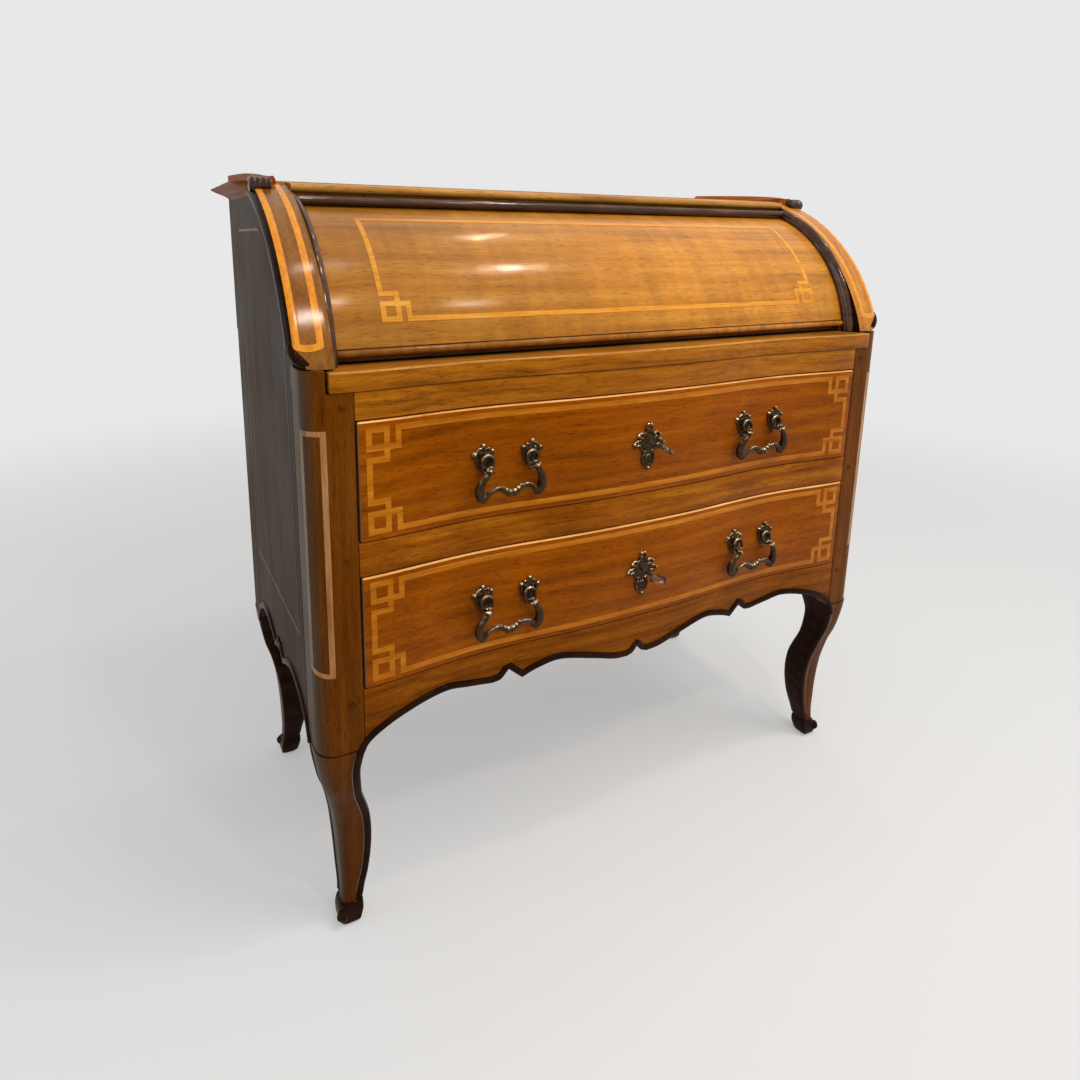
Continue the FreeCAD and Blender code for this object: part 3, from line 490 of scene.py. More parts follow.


# Bronze, cast and aged: brown patina in the hollows; what stands out is worn to warm metal and pale as a painted
# highlight, the upper sides paler still as painted light from above

def agedBronze(name):
    finish, tree, surface, place = newFinish(name)
    worn = addNode(tree, "ShaderNodeNewGeometry")
    grain = addNode(tree, "ShaderNodeTexNoise", {"Vector": place}, {"Scale": 1000 / 6, "Detail": 4.0})
    proud = addNode(
        tree, "ShaderNodeMath", {0: grain.outputs["Fac"], 2: worn.outputs["Pointiness"]}, {1: 0.12},
        operation="MULTIPLY_ADD",
    )
    facing = addNode(tree, "ShaderNodeSeparateXYZ", {0: worn.outputs["Normal"]})
    above = addNode(  # upper sides paler: painted light from above
        tree, "ShaderNodeMapRange", {0: facing.outputs[2]}, rangeOf(0.1, 0.9, -0.012, 0.05),
        interpolation_type="SMOOTHSTEP",
    )
    wearAndTopLight = addNode(tree, "ShaderNodeMath", {0: proud.outputs[0], 1: above.outputs[0]}, operation="ADD")
    colour = addNode(
        tree, "ShaderNodeValToRGB", {"Fac": wearAndTopLight.outputs[0]},
        stops=[(0.512, "#120A05"), (0.585, "#4A3418"), (0.66, "#F4DEB4")],
    )
    rough = addNode(tree, "ShaderNodeValToRGB", {"Fac": wearAndTopLight.outputs[0]}, stops=[(0.52, 0.4), (0.66, 0.18)])
    bump = addNode(tree, "ShaderNodeBump", {"Height": grain.outputs["Fac"]}, {"Strength": 0.3, "Distance": 0.0006})
    setSockets(tree, surface, {
        "Base Color": colour.outputs[0], "Roughness": rough.outputs[0], "Normal": bump.outputs[0],
    }, {"Metallic": 0.8})
    return finish


# Wrought iron, filed and rusted a little: dark grey with brown specks

def filedIron(name):
    finish, tree, surface, place = newFinish(name)
    specks = addNode(tree, "ShaderNodeTexNoise", {"Vector": place}, {"Scale": 1000 / 4, "Detail": 5.0})
    colour = addNode(
        tree, "ShaderNodeValToRGB", {"Fac": specks.outputs["Fac"]},
        stops=[(0.38, "#3A2418"), (0.5, "#6A6258"), (0.7, "#8E867A")],
    )
    rough = addNode(tree, "ShaderNodeValToRGB", {"Fac": specks.outputs["Fac"]}, stops=[(0.4, 0.7), (0.6, 0.35)])
    setSockets(tree, surface, {"Base Color": colour.outputs[0], "Roughness": rough.outputs[0]}, {"Metallic": 0.8})
    return finish


# Calf leather, pasted down and waxed: pebbled grain, rubbed paler where hands rest

def waxedLeather(name):
    finish, tree, surface, place = newFinish(name)
    pebble = addNode(tree, "ShaderNodeTexVoronoi", {"Vector": place}, {"Scale": 1000 / 2.2})  # drawn coarse to show
    wearAndHighlight = addNode(tree, "ShaderNodeTexNoise", {"Vector": place}, {"Scale": 1000 / 130, "Detail": 4.0})
    colour = addNode(
        tree, "ShaderNodeValToRGB", {"Fac": wearAndHighlight.outputs["Fac"]},
        stops=[(0.35, "#3E1A10"), (0.52, "#5E2A18"), (0.7, "#7C4026")],
    )
    bump = addNode(tree, "ShaderNodeBump", {"Height": pebble.outputs["Distance"]}, {"Strength": 0.35, "Distance": 0.0005})
    rough = addNode(tree, "ShaderNodeValToRGB", {"Fac": wearAndHighlight.outputs["Fac"]}, stops=[(0.35, 0.6), (0.7, 0.42)])
    setSockets(tree, surface, {
        "Base Color": colour.outputs[0], "Roughness": rough.outputs[0], "Normal": bump.outputs[0],
    })
    return finish


finishes["bronze"] = agedBronze("aged_cast_bronze")
finishes["iron"] = filedIron("filed_iron")
finishes["leather"] = waxedLeather("waxed_calf_leather")
print("finishes:", len(finishes))

# Finishes of the pieces that keep their solid
kept = {
    "walnutPegs": ["joint_pegs"],
    "walnutBack": ["rear_rail"],
    "walnutSides": ["side_panel_right", "side_panel_left"],
    "fruitwoodInside": ["inner_side_right", "inner_side_left", "gradin_shelves", "gradin_uprights", "gradin_back",
                        "small_drawer_right_front", "small_drawer_left_front", "slide_panel", "slide_cleats"],
    "oakInside": ["slide_deck", "drawer_runners", "dust_board", "cylinder_ribs", "upper_drawer_box",
                  "lower_drawer_box", "upper_drawer_bottom", "lower_drawer_bottom", "small_drawer_right_tray",
                  "small_drawer_left_tray"],
    "leather": ["writing_leather"],
    "iron": ["upper_lock_case", "lower_lock_case", "upper_lock_bolt", "lower_lock_bolt", "upper_key", "lower_key"],
}
for finishName, nodes in kept.items():
    for node in nodes:
        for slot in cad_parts[node].material_slots:
            slot.material = finishes[finishName]
print("kept nodes dressed:", sum(len(nodes) for nodes in kept.values()))


# Crossbow front: flush at the ends and the middle, hollow between them
crossbow = {"half": 451, "dip": 11, "exponent": 1.36, "cuts": 63}


def frontLine(x):
    share = min(abs(x) / crossbow["half"], 1.0)
    return crossbow["dip"] * math.sin(math.pi * share ** crossbow["exponent"]) ** 2


def crossbowBlock(name, block):
    low, high = spot(-block["half"], 0, block["low"]), spot(block["half"], block["back"], block["high"])
    piece = sawBlock(name, low, high)
    ends = piece.data.vertices
    pickIn(piece, "EDGE", lambda edge: abs(ends[edge.vertices[0]].co.x - ends[edge.vertices[1]].co.x) > 0.1)
    bpy.ops.mesh.subdivide(number_cuts=crossbow["cuts"])
    pickNone()
    middle = (low.y + high.y) / 2
    for point in piece.data.vertices:
        if point.co.y < middle:
            point.co.y = frontPlane + (frontLine(point.co.x * 1000) - block["proud"]) / 1000
    softenEdges(piece, block["edge"])
    return piece


def upperArris(face):
    return face.normal.y < -0.15 and face.normal.z > 0.15


rail = {"half": 451, "proud": 0, "back": 24, "edge": 0.8}
rails = {
    # the top rail takes the slide's brighter finish: painted light against the shade under the slide
    "top_rail": {"low": 754, "high": 789.6, "finish": "cherrySlideAndLitRail"},
    "drawer_divider": {"low": 548, "high": 593.6, "finish": "walnutRails"},
}
boltMortise = {"half": 15.5, "front": 13.6, "back": 22.6, "below": 2, "deep": 9}  # the bolt shoots up into it
for node, block in rails.items():
    piece = crossbowBlock("rail_" + node, {**rail, **block})
    cutPocket(
        piece, spot(-boltMortise["half"], boltMortise["front"], block["low"] - boltMortise["below"]),
        spot(boltMortise["half"], boltMortise["back"], block["low"] + boltMortise["deep"]),
    )
    handOver(piece, "case", "walnut", block["finish"], node)

slideEdge = {"half": 482, "low": 790.2, "high": 816, "proud": 3, "back": 40, "edge": 2.5}
piece = crossbowBlock("slide_edge", slideEdge)
handOver(piece, "slide", "walnut", "cherrySlideAndLitRail", "slide_front_edge")
dressFaces(piece, upperArris, "cherryTopAndHighlight")  # painted golden highlight on the top arris

drawer = {"half": 448.8, "tall": 157.2, "proud": 2, "back": 23.5, "edge": 2.2}
drawerLow = {"upper": 595.2, "lower": 389.2}
lockMortise = {"half": 38.1, "front": 10.9, "back": 30, "foot": 56.7, "over": 3}  # the lock is let in from behind


def drawerHighlights(face):  # painted highlight on the top arris, painted grey reflection on the ends
    if upperArris(face):
        return 1
    return 2 if face.normal.y < -0.15 and abs(face.normal.x) > 0.3 else 0


for name, low in drawerLow.items():
    high = low + drawer["tall"]
    piece = crossbowBlock(name + "_front", {**drawer, "low": low, "high": high})
    cutPocket(
        piece, spot(-lockMortise["half"], lockMortise["front"], low + lockMortise["foot"]),
        spot(lockMortise["half"], lockMortise["back"], high + lockMortise["over"]),
    )
    handOver(piece, name + "_drawer", "walnut_drawers", "walnutDrawers", name + "_drawer_front")
    dressFaces(piece, drawerHighlights, "arrisHighlight", "boxwoodGreySheen")
print("crossbow fronts done")

# Back: upright oak boards, their edges eased
backing = {"half": 493, "front": 478, "back": 489.2, "low": 388, "boards": 8, "groove": 1.8, "gap": 0.4, "deep": 3,
           "dark": (1, 2, 5, 7)}
boardWide = 2 * backing["half"] / backing["boards"]
ring = [(-backing["half"], backing["front"]), (-backing["half"], backing["back"])]
for n in range(1, backing["boards"]):
    joint = n * boardWide - backing["half"]
    inside = backing["back"] - backing["deep"]
    ring += [(joint - backing["groove"], backing["back"]), (joint - backing["gap"], inside)]
    ring += [(joint + backing["gap"], inside), (joint + backing["groove"], backing["back"])]
ring += [(backing["half"], backing["back"]), (backing["half"], backing["front"])]
piece = rollGrid("back_planks", ring, 1, lambda p, row: spot(p[0], p[1], between(backing["low"], desk["head"], row)))
handOver(piece, "case", "oak_inside", "oakBack", "back_boards")


def boardTone(face):  # every board has its own tone
    return int((inMm(face.center)[0] + backing["half"]) / boardWide) in backing["dark"]


dressFaces(piece, boardTone, "oakBackDark")
print("back done")

# Cylinder: thin curved shell, with its dark rail along the foot
cylinder = {"axisDepth": 280, "axisHeight": 785, "radius": 243, "thick": 14, "low": 12.3, "high": 84, "half": 469,
            "columns": 40, "rows": 60}


def onCylinder(x, angle, lift=0):
    reach = cylinder["radius"] + lift
    turn = math.radians(angle)
    return spot(x, cylinder["axisDepth"] - reach * math.cos(turn), cylinder["axisHeight"] + reach * math.sin(turn))


def shellPlace(column, row):
    x = between(-cylinder["half"], cylinder["half"], column / cylinder["columns"])
    return onCylinder(x, between(cylinder["low"], cylinder["high"], row / cylinder["rows"]))


shell = layGrid("cylinder_veneer", cylinder["columns"], cylinder["rows"], shellPlace)
useModifier(shell, "SOLIDIFY", thickness=cylinder["thick"] / 1000, offset=-1)
closeUp(shell)
handOver(shell, "cylinder", "walnut", "walnutCylinder", "cylinder_shell", smooth=30)

footRail = {"half": 458.8, "foot": 820, "rebate": 3.4, "roll": [  # groove and roll, from the shell's lower edge
    (0, 0), (0.6, -1.2), (-0.6, -1.6), (-3.2, -2), (-4.5, -3.8), (-5, -6.2), (-4.5, -8.6), (-3, -10.4), (0, -11.2),
    (3, -11.4)]}
backY, backZ = inMm(onCylinder(0, cylinder["low"], -cylinder["thick"]))[1:]
topY, topZ = inMm(onCylinder(0, cylinder["low"]))[1:]
footProfile = [(topY + a, topZ + b) for a, b in footRail["roll"]]
footProfile += [(topY + footRail["rebate"], footRail["foot"]), (backY, footRail["foot"]), (backY, backZ)]
piece = pushProfile("cylinder_foot_rail", footProfile, footRail["half"])
softenEdges(piece, 0.8)
handOver(piece, "cylinder", "dark_moulding", "walnutCheeks", "cylinder_bottom_rail", smooth=40)


def footRailShade(face):  # the groove above the roll and the rebate below it are black: painted shade in the recesses
    drop = topZ - inMm(face.center)[2]
    return drop > 10 or (drop < 1.7 and face.normal.z > -0.9 and face.normal.y < 0.5)


dressFaces(piece, footRailShade, "darkWalnutAndShade")
print("cylinder done")

# Cheeks: flatter curve beside the cylinder, outer edge rounded
cheek = {"inner": 470, "outer": 524, "panel": 513.4, "round": 30, "edge": 11.6, "radius": 334, "body": 40,
         "depth": 330, "height": 725, "foot": desk["cheekFoot"], "end": 240, "rows": 48,
         "quirk": [(523.6, 318.6), (521.6, 316.4), (517.4, 315), (513.4, 314.2), (513.4, 308)]}


def onCheek(x, radius, share, foot):
    first = math.asin((foot - cheek["height"]) / radius)
    last = math.acos((cheek["depth"] - cheek["end"]) / radius)
    turn = between(first, last, share)
    return spot(x, cheek["depth"] - radius * math.cos(turn), cheek["height"] + radius * math.sin(turn))


def cheekFoot(x):  # the foot rises round the outer corner
    out = max(0.0, x - (cheek["outer"] - cheek["round"]))
    return cheek["foot"] + cheek["round"] - math.sqrt(max(0.0, cheek["round"] ** 2 - out ** 2))


backRadius = cheek["radius"] - cheek["body"]
edgeX, edgeRadius = cheek["outer"] - cheek["edge"], cheek["radius"] - cheek["edge"]
cheekRing = [(cheek["inner"], between(backRadius, cheek["radius"], n / 4)) for n in range(5)]
cheekRing += [(between(cheek["inner"], edgeX, n / 6), cheek["radius"]) for n in range(1, 7)]
cheekRing += [(edgeX + cheek["edge"] * s, edgeRadius + cheek["edge"] * c) for c, s in arc(0, 90, 8)[1:]]
cheekRing += cheek["quirk"]
cheekRing += [(between(cheek["panel"], cheek["inner"], n / 4), backRadius) for n in range(4)]
piece = rollGrid(
    "cheek_board", cheekRing, cheek["rows"], lambda p, row: onCheek(p[0], p[1], row / cheek["rows"], cheekFoot(p[0])),
)
softenEdges(piece, 0.8, 50)


def cheekSidesAndShade(face):  # the outer face is part of the duller side; the inner face, the underside and the rounded foot are black as painted shade, and the outer rounded edge is black too
    x, _, z = inMm(face.center)
    x, turned = abs(x), abs(face.normal.x)
    if desk["half"] < x < 514.2 and turned > 0.95:
        return 1
    if face.normal.z < -0.25 or x > 515.8 or (x < cheek["inner"] + 0.8 and turned > 0.7):
        return 2
    return 2 if x > 503 and z - cheekFoot(x) < 7 else 0


for board in handOverPair(piece, "cheek_board", "walnut", "walnutCheeks", "cheek", smooth=40):
    dressFaces(board, cheekSidesAndShade, "walnutSides", "blackMouldingAndShade")

# A black roll turns under the outer corner of each cheek's foot, black as painted shade there
shadeRoll = {"reach": 25, "thick": 7, "from": 8, "to": -88, "sunk": 4.6, "rows": 12}
rollTurns = arc(shadeRoll["from"], shadeRoll["to"], shadeRoll["rows"])


def onShadeRoll(point, row):
    outX, outZ = rollTurns[row]
    x = cheek["outer"] - cheek["round"] + shadeRoll["reach"] * outX
    z = cheek["foot"] + cheek["round"] + shadeRoll["reach"] * outZ
    y = cheek["depth"] - math.sqrt((cheek["radius"] - shadeRoll["sunk"]) ** 2 - (z - cheek["height"]) ** 2)
    turn = math.radians(point)
    reach = shadeRoll["thick"] * math.sin(math.pi * between(0.06, 0.94, row / shadeRoll["rows"])) ** 0.7
    return spot(x + reach * math.cos(turn) * outX, y + reach * math.sin(turn), z + reach * math.cos(turn) * outZ)


piece = rollGrid("cheek_foot_roll", [20 * n for n in range(18)], shadeRoll["rows"], onShadeRoll)
handOverPair(piece, "cheek_foot_roll", "dark_moulding", "blackMouldingAndShade", smooth=60)

# Dark beads round the opening: a roll and a small step on each arch, a rounded strip at the head
arch = {"rows": 48, "under": 255.2, "ring": [  # (across, radius)
    (470, 243.7), (470, 259.4), (468.4, 259.6), (466.8, 259.2), (465.2, 258.2), (463.6, 256.6), (462.5, 254.6),
    (461.7, 252.2), (461.3, 249.8), (460.8, 248.6), (459.9, 248), (459.8, 246), (459.8, 243.7)]}
headBead = {"half": 470, "depth": 203, "height": 1023.6, "round": 6.6,
            "behind": [(236, 1032), (211, 1032), (208, 1030.4)], "below": [(213, 1020.4), (236, 1024.8)]}


def onArch(point, row):
    x, radius = point
    first = math.asin((desk["cheekFoot"] - cylinder["axisHeight"]) / radius)
    last = math.asin((desk["head"] - cylinder["axisHeight"]) / max(radius, arch["under"]))
    turn = between(first, last, row / arch["rows"])
    return onCylinder(x, math.degrees(turn), radius - cylinder["radius"])


piece = rollGrid("arch_bead_right", arch["ring"], arch["rows"], onArch)
twin = copyPiece(piece, "arch_bead_left", mirrored=True)
headProfile = headBead["behind"] + [
    (headBead["depth"] + headBead["round"] * c, headBead["height"] + headBead["round"] * s) for c, s in arc(60, 300, 12)
] + headBead["below"]
head = pushProfile("head_bead", headProfile, headBead["half"])
piece = joinUp("opening_beads_turned", [piece, twin, head])
handOver(piece, "case", "dark_moulding", "darkWalnutAndShade", "opening_beads", smooth=40)

# Top board: rounded nose over a hollow, between the cheeks, and the wide board behind it
board = {"half": 485, "noseHalf": 469.8, "front": 208, "join": 240.2, "lap": 252, "nose": 5.5, "fall": 4, "cove": 7,
         "step": 4, "rise": 3, "play": 0.4}
profile = [(board["lap"], desk["top"])]
for c, s in arc(8, 165, 8):  # the top falls a little to a rounded nose
    profile.append((board["front"] + board["nose"] * (1 - s), desk["top"] - board["fall"] - board["nose"] * (1 - c)))
for c, s in arc(0, 90, 6)[1:]:
    profile.append((board["front"] + board["step"] + board["cove"] * s, desk["head"] + board["rise"] * c))
profile.append((board["lap"], desk["head"] + board["play"]))
rearEnds = [(desk["back"], desk["top"]), (board["join"], desk["top"]), (board["join"], desk["head"]),
            (desk["back"], desk["head"])]
wide = pushProfile("top_board_rear", rearEnds, board["half"])
narrow = pushProfile("top_board_front", profile, board["noseHalf"])
piece = joinUp("top_board_moulded", [narrow, wide])
handOver(piece, "case", "walnut", "cherryTopAndHighlight", "top_board", smooth=40)

# Side cornices: beaked moulding that falls forwards into a reeded scroll
cornice = {"flat": 512, "tip": 541, "shoulder": 1056, "crest": 1073, "front": 230, "grow": 46, "rows": 60, "ring": [
    (485, 1032), (485, 1046), (485.6, 1051), (488, 1056), (491.5, 1061), (496, 1067), (500, 1071), (503, 1072.6),
    (506, 1073), (510, 1073), (511.4, 1072.6), (512, 1071.4), (512, 1066), (512.2, 1057.6), (514, 1053.8),
    (518, 1052.2), (524, 1051.2), (532, 1050.6), (539.6, 1050), (541, 1049), (539.6, 1047.4), (533, 1044.2),
    (527, 1041.8), (521, 1039.6), (516, 1037.2), (513.6, 1035.4), (513, 1034.2), (513, 1032)]}
reeded = {"from": 495, "to": 525, "depth": 216, "height": 1043.4, "radius": 10.5, "reeds": 4, "rows": 64}


def crestLine(y):
    share = min(max((y - 240) / (desk["back"] - 240), 0.0), 1.0)
    return between(1055, cornice["crest"], share ** 0.55)


def onCornice(point, row):
    x, z = point
    y = cornice["front"] + (desk["back"] - cornice["front"]) * (row / cornice["rows"]) ** 1.5
    share = min(1.0, (y - cornice["front"]) / cornice["grow"])
    limit = between(cornice["flat"], cornice["tip"], share * (2 - share))
    if x > cornice["flat"]:  # the beak grows out of the scroll
        x = between(cornice["flat"], limit, (x - cornice["flat"]) / (cornice["tip"] - cornice["flat"]))
    if z > cornice["shoulder"]:
        share = (z - cornice["shoulder"]) / (cornice["crest"] - cornice["shoulder"])
        z = between(cornice["shoulder"], crestLine(y), share)
    return spot(x, y, z)


def onScroll(point, row):  # reeds, wound a little
    share = row / reeded["rows"]
    turn = math.radians(point)
    reach = reeded["radius"] * (0.82 + 0.18 * abs(math.sin(math.pi * reeded["reeds"] * share + turn * 0.4)))
    reach *= 1 - 0.35 * max(0.0, abs(2 * share - 1) - 0.9) / 0.1
    x = between(reeded["from"], reeded["to"], share)
    return spot(x, reeded["depth"] + reach * math.cos(turn), reeded["height"] + reach * math.sin(turn))


piece = rollGrid("cornice", cornice["ring"], cornice["rows"], onCornice)
roll = rollGrid("cornice_scroll", [15 * n for n in range(24)], reeded["rows"], onScroll)
piece = joinUp("cornice", [piece, roll])
for moulding in handOverPair(piece, "cornice", "walnut", "cherryCornice", "side_cornice", smooth=40):
    dressFaces(moulding, lambda face: inMm(face.center)[1] < 229.9, "darkWalnutAndShade")  # the whole reeded scroll is dark
print("cheeks, beads, top and cornices done")


# Stringing: thin sheets cut to the pattern and laid on the surface, a hair proud so that they show cleanly
knot = list(range(7))  # lines of the square knot at a corner, in strip widths
hair = 0.12


def keyCorner(u, v):  # interlaced square knot, in strip widths from the corner
    ring = u < 4 and v < 4 and not (1 < u < 3 and 1 < v < 3)
    across = (u > 5 and v < 1) or (5 < u < 6 and v < 4) or (4 < u < 6 and 3 < v < 4)
    upright = (3 < u < 4 and 4 < v < 6) or (u < 4 and 5 < v < 6) or (u < 1 and v > 5)
    return ring or across or upright


def knotted(length, count):  # lines of a strip with a knot at both ends
    return knot + [between(6, length - 6, n / count) for n in range(1, count)] + [length - 6 + n for n in knot]


def layStringing(name, columns, rows, keep, place, thick=0.5):
    piece = layGrid(name, len(columns) - 1, len(rows) - 1, lambda c, r: Vector((columns[c], rows[r], 0)))
    pickIn(piece, "FACE", lambda face: not keep(face.center.x, face.center.y))
    bpy.ops.mesh.delete(type="FACE")
    pickNone()
    for point in piece.data.vertices:
        point.co = place(point.co.x, point.co.y)
    useModifier(piece, "SOLIDIFY", thickness=thick / 1000, offset=0)
    closeUp(piece)
    return piece


drawerString = {"unit": 7.87, "sideMargin": 10, "lift": 0.1, "tall": 18, "cuts": 50}
unit, tall = drawerString["unit"], drawerString["tall"]
wide = 2 * (drawer["half"] - drawerString["sideMargin"]) / unit
margin = (drawer["tall"] - tall * unit) / 2
for name, low in drawerLow.items():

    def drawerPlace(u, v):
        x = (u - wide / 2) * unit
        return spot(x, frontLine(x) - drawer["proud"] - drawerString["lift"], low + margin + v * unit)

    piece = layStringing(
        name + "_drawer_stringing", knotted(wide, drawerString["cuts"]), list(range(tall + 1)),
        lambda u, v: keyCorner(min(u, wide - u), min(v, tall - v)), drawerPlace,
    )
    handOver(piece, name + "_drawer", "walnut_drawers", "boxwood")

cylinderString = {"unit": 7, "half": 396, "low": 19.8, "high": 62, "cuts": 30, "rows": 24}
unit = cylinderString["unit"]
wide = 2 * cylinderString["half"] / unit
tall = math.radians(cylinderString["high"] - cylinderString["low"]) * cylinder["radius"] / unit
rows = knot + [between(6, tall - 1, n / cylinderString["rows"]) for n in range(1, cylinderString["rows"] + 1)] + [tall]


def cylinderPattern(u, v):
    side = min(u, wide - u)
    if v > tall / 2:  # plain mitres at the top
        return side < 1 or tall - v < 1
    return keyCorner(side, v)


def cylinderPlace(u, v):
    angle = cylinderString["low"] + math.degrees(v * unit / cylinder["radius"])
    return onCylinder((u - wide / 2) * unit, angle, hair)


piece = layStringing("cylinder_stringing", knotted(wide, cylinderString["cuts"]), rows, cylinderPattern, cylinderPlace)
handOver(piece, "cylinder", "walnut", "boxwoodCylinder")

cheekString = {"foot": 839, "band": 6.5, "sag": 3.5, "from": 480.5, "wide": 37, "gap": (489, 509), "length": 258,
               "end": 0.995, "fade": 0.03}
acrossLines = sorted({cheekString["from"] + cheekString["wide"] * n / 20 for n in range(21)} | set(cheekString["gap"]))
footShare = (cheekString["foot"] - cheek["foot"]) / cheekString["length"]  # along the cheek's curve
bandShare = cheekString["band"] / cheekString["length"]
bandTop = footShare + bandShare
alongLines = [footShare, footShare + bandShare / 2] + [between(bandTop, cheekString["end"], n / 44) for n in range(45)]


def cheekPattern(x, share):
    return not cheekString["gap"][0] < x < cheekString["gap"][1] or share < bandTop


def cheekPlace(x, share):
    across = (x - cheekString["from"]) / (cheekString["wide"] / 2) - 1
    fade = max(0.0, 1 - max(0.0, share - bandTop) / cheekString["fade"])
    drop = cheekString["sag"] * (1 - across * across) * fade / cheekString["length"]
    over = max(0.0, x - edgeX)
    radius = edgeRadius + hair + math.sqrt(cheek["edge"] ** 2 - over ** 2)
    return onCheek(x, radius, share - drop, cheek["foot"])


piece = layStringing("cheek_bands", acrossLines, alongLines, cheekPattern, cheekPlace)
handOverPair(piece, "cheek_bands", "walnut", "boxwoodCheeks")

stileString = {"round": 27, "first": 3, "last": 86, "low": 415, "high": 745, "band": 7.5, "cross": 6.5, "bow": 10}
bandTurn = math.degrees(stileString["band"] / stileString["round"])
nearTurn, farTurn = stileString["first"] + bandTurn, stileString["last"] - bandTurn
lowLine, highLine = stileString["low"] + stileString["cross"], stileString["high"] - stileString["cross"]
turns = [between(stileString["first"], nearTurn, n / 3) for n in range(4)]
turns += [between(nearTurn, farTurn, n / 8) for n in range(1, 8)]
turns += [between(farTurn, stileString["last"], n / 3) for n in range(4)]
heights = [stileString["low"]] + [between(lowLine, highLine, n / 10) for n in range(11)] + [stileString["high"]]


def stilePattern(turn, z):
    return not (nearTurn < turn < farTurn and lowLine < z < highLine)


def stilePlace(turn, z):
    reach = stileString["round"] + hair
    angle = math.radians(turn)
    if z < 430:  # the foot of the frame is a bow
        z += stileString["bow"] * (turn / stileString["last"]) ** 2.5
    x = desk["half"] - stileString["round"] + reach * math.sin(angle)
    return spot(x, stileString["round"] - reach * math.cos(angle), z)


def stileSideSheen(face):  # the line that faces sideways is grey: a painted reflection of cool side light
    x, _, z = inMm(face.center)
    return z > 440 and abs(x) > 509


piece = layStringing("stile_stringing", turns, heights, stilePattern, stilePlace)
for sheet in handOverPair(piece, "stile_stringing", "walnut", "boxwoodStile"):
    dressFaces(sheet, stileSideSheen, "boxwoodGreySheen")

sideString = {"front": 88, "back": 402, "low": 438, "high": 985, "band": 3.5, "inset": 16, "lift": 0.08, "cuts": 40}


def sideFront(z):  # the front line runs down beside the cheek, then beside the stile
    reach = backRadius - sideString["inset"]
    rise = min(max(z - cheek["height"], 0.0), reach)
    return max(sideString["front"], cheek["depth"] - math.sqrt(reach ** 2 - rise ** 2))


def sidePlace(u, v):
    z = between(sideString["low"], sideString["high"], v)
    front, back, band = sideFront(z), sideString["back"], sideString["band"]
    return spot(desk["half"] + sideString["lift"], (front, front + band, back - band, back)[round(u)], z)


rowShare = sideString["band"] / (sideString["high"] - sideString["low"])
rows = [0] + [between(rowShare, 1 - rowShare, n / sideString["cuts"]) for n in range(sideString["cuts"] + 1)] + [1]
piece = layStringing(
    "side_stringing", [0, 1, 2, 3], rows,
    lambda u, v: u < 1 or u > 2 or v < rowShare or v > 1 - rowShare, sidePlace,
)
for sheet in handOverPair(piece, "side_stringing", "walnut", "boxwoodFaded"):
    dressFaces(sheet, lambda face: 443 < inMm(face.center)[2] < 980, "boxwoodLost")  # upright lines sink into the panel
print("stringing done")

# Legs: one piece with the stile, a small ledge at the knee, a bead down both inner arrises, a scroll foot.
# Each row gives height, outer and inner line of the section, its rounding and its inner edge, as shares
leg = {"post": 62, "knee": 300, "edge": 8, "ledge": 1.1, "foot": 39, "bead": 13.4, "rows": [
    (1.00, 0.000, 1.000, 1.00, 0.25), (0.95, 0.015, 0.945, 0.99, 0.30), (0.89, 0.050, 0.895, 0.96, 0.40),
    (0.80, 0.125, 0.925, 0.86, 0.70), (0.72, 0.245, 0.985, 0.75, 0.85), (0.65, 0.320, 1.090, 0.68, 0.95),
    (0.58, 0.385, 1.180, 0.62, 1.00), (0.48, 0.435, 1.220, 0.55, 1.00), (0.38, 0.465, 1.205, 0.50, 1.00),
    (0.27, 0.480, 1.135, 0.44, 1.00), (0.16, 0.485, 1.010, 0.39, 0.95), (0.08, 0.430, 0.940, 0.35, 0.90),
    (0.00, 0.380, 0.890, 0.33, 0.90)]}
legLevels = [desk["stileTop"], 700, 600, 500, 400, 330, 300.6, 300, 299.2]
legLevels += [leg["knee"] * (1 - n / 44) for n in range(1, 39)]
legLevels += [leg["foot"], 37, 35, 33, 30, 26, 22, 18, 14, 10, 7, 4, 2, 0]
toe = {"radius": 8, "half": 8, "inset": 28, "height": 17, "rows": 16}


def legRow(share):  # the drawn sections, joined by an even curve
    rows = leg["rows"]
    for index in range(len(rows) - 1):
        if rows[index][0] >= share >= rows[index + 1][0]:
            break
    a, b, c, d = [Vector(rows[min(max(index + k, 0), len(rows) - 1)][1:]) for k in (-1, 0, 1, 2)]
    return easeThrough(a, b, c, d, (rows[index][0] - share) / (rows[index][0] - rows[index + 1][0]))


def legOutline(near, far, big, small, bead):  # plan of the section, from the outer corner of the case inwards
    last, start = near + big, far - leg["bead"]
    outline = [(last + big * c, last + big * s) for c, s in arc(180, 270, 8)]
    outline += [(between(last, start, n / 3), near) for n in (1, 2, 3)]
    arris = [(far - 12.6, near), (far - 11.6, near + 1.6 * bead), (far - 10.4, near + 0.9 * bead),
             (far - 8.4, near - 1.0 * bead), (far - 5.4, near - 1.7 * bead), (far - 2.6, near - 0.7 * bead),
             (far - 0.8, near + small * 0.4), (far, near + small)]
    outline += arris
    outline += [(far, between(near + small, far - small, n / 3)) for n in (1, 2)]
    outline += [(far, far - small), (far - small * 0.3, far - small * 0.3), (far - small, far)]
    outline += [(between(far - small, near + small, n / 3), far) for n in (1, 2)]
    outline += [(q, p) for p, q in reversed(arris)]
    outline += [(near, between(start, last, n / 3)) for n in (0, 1, 2)]
    return outline


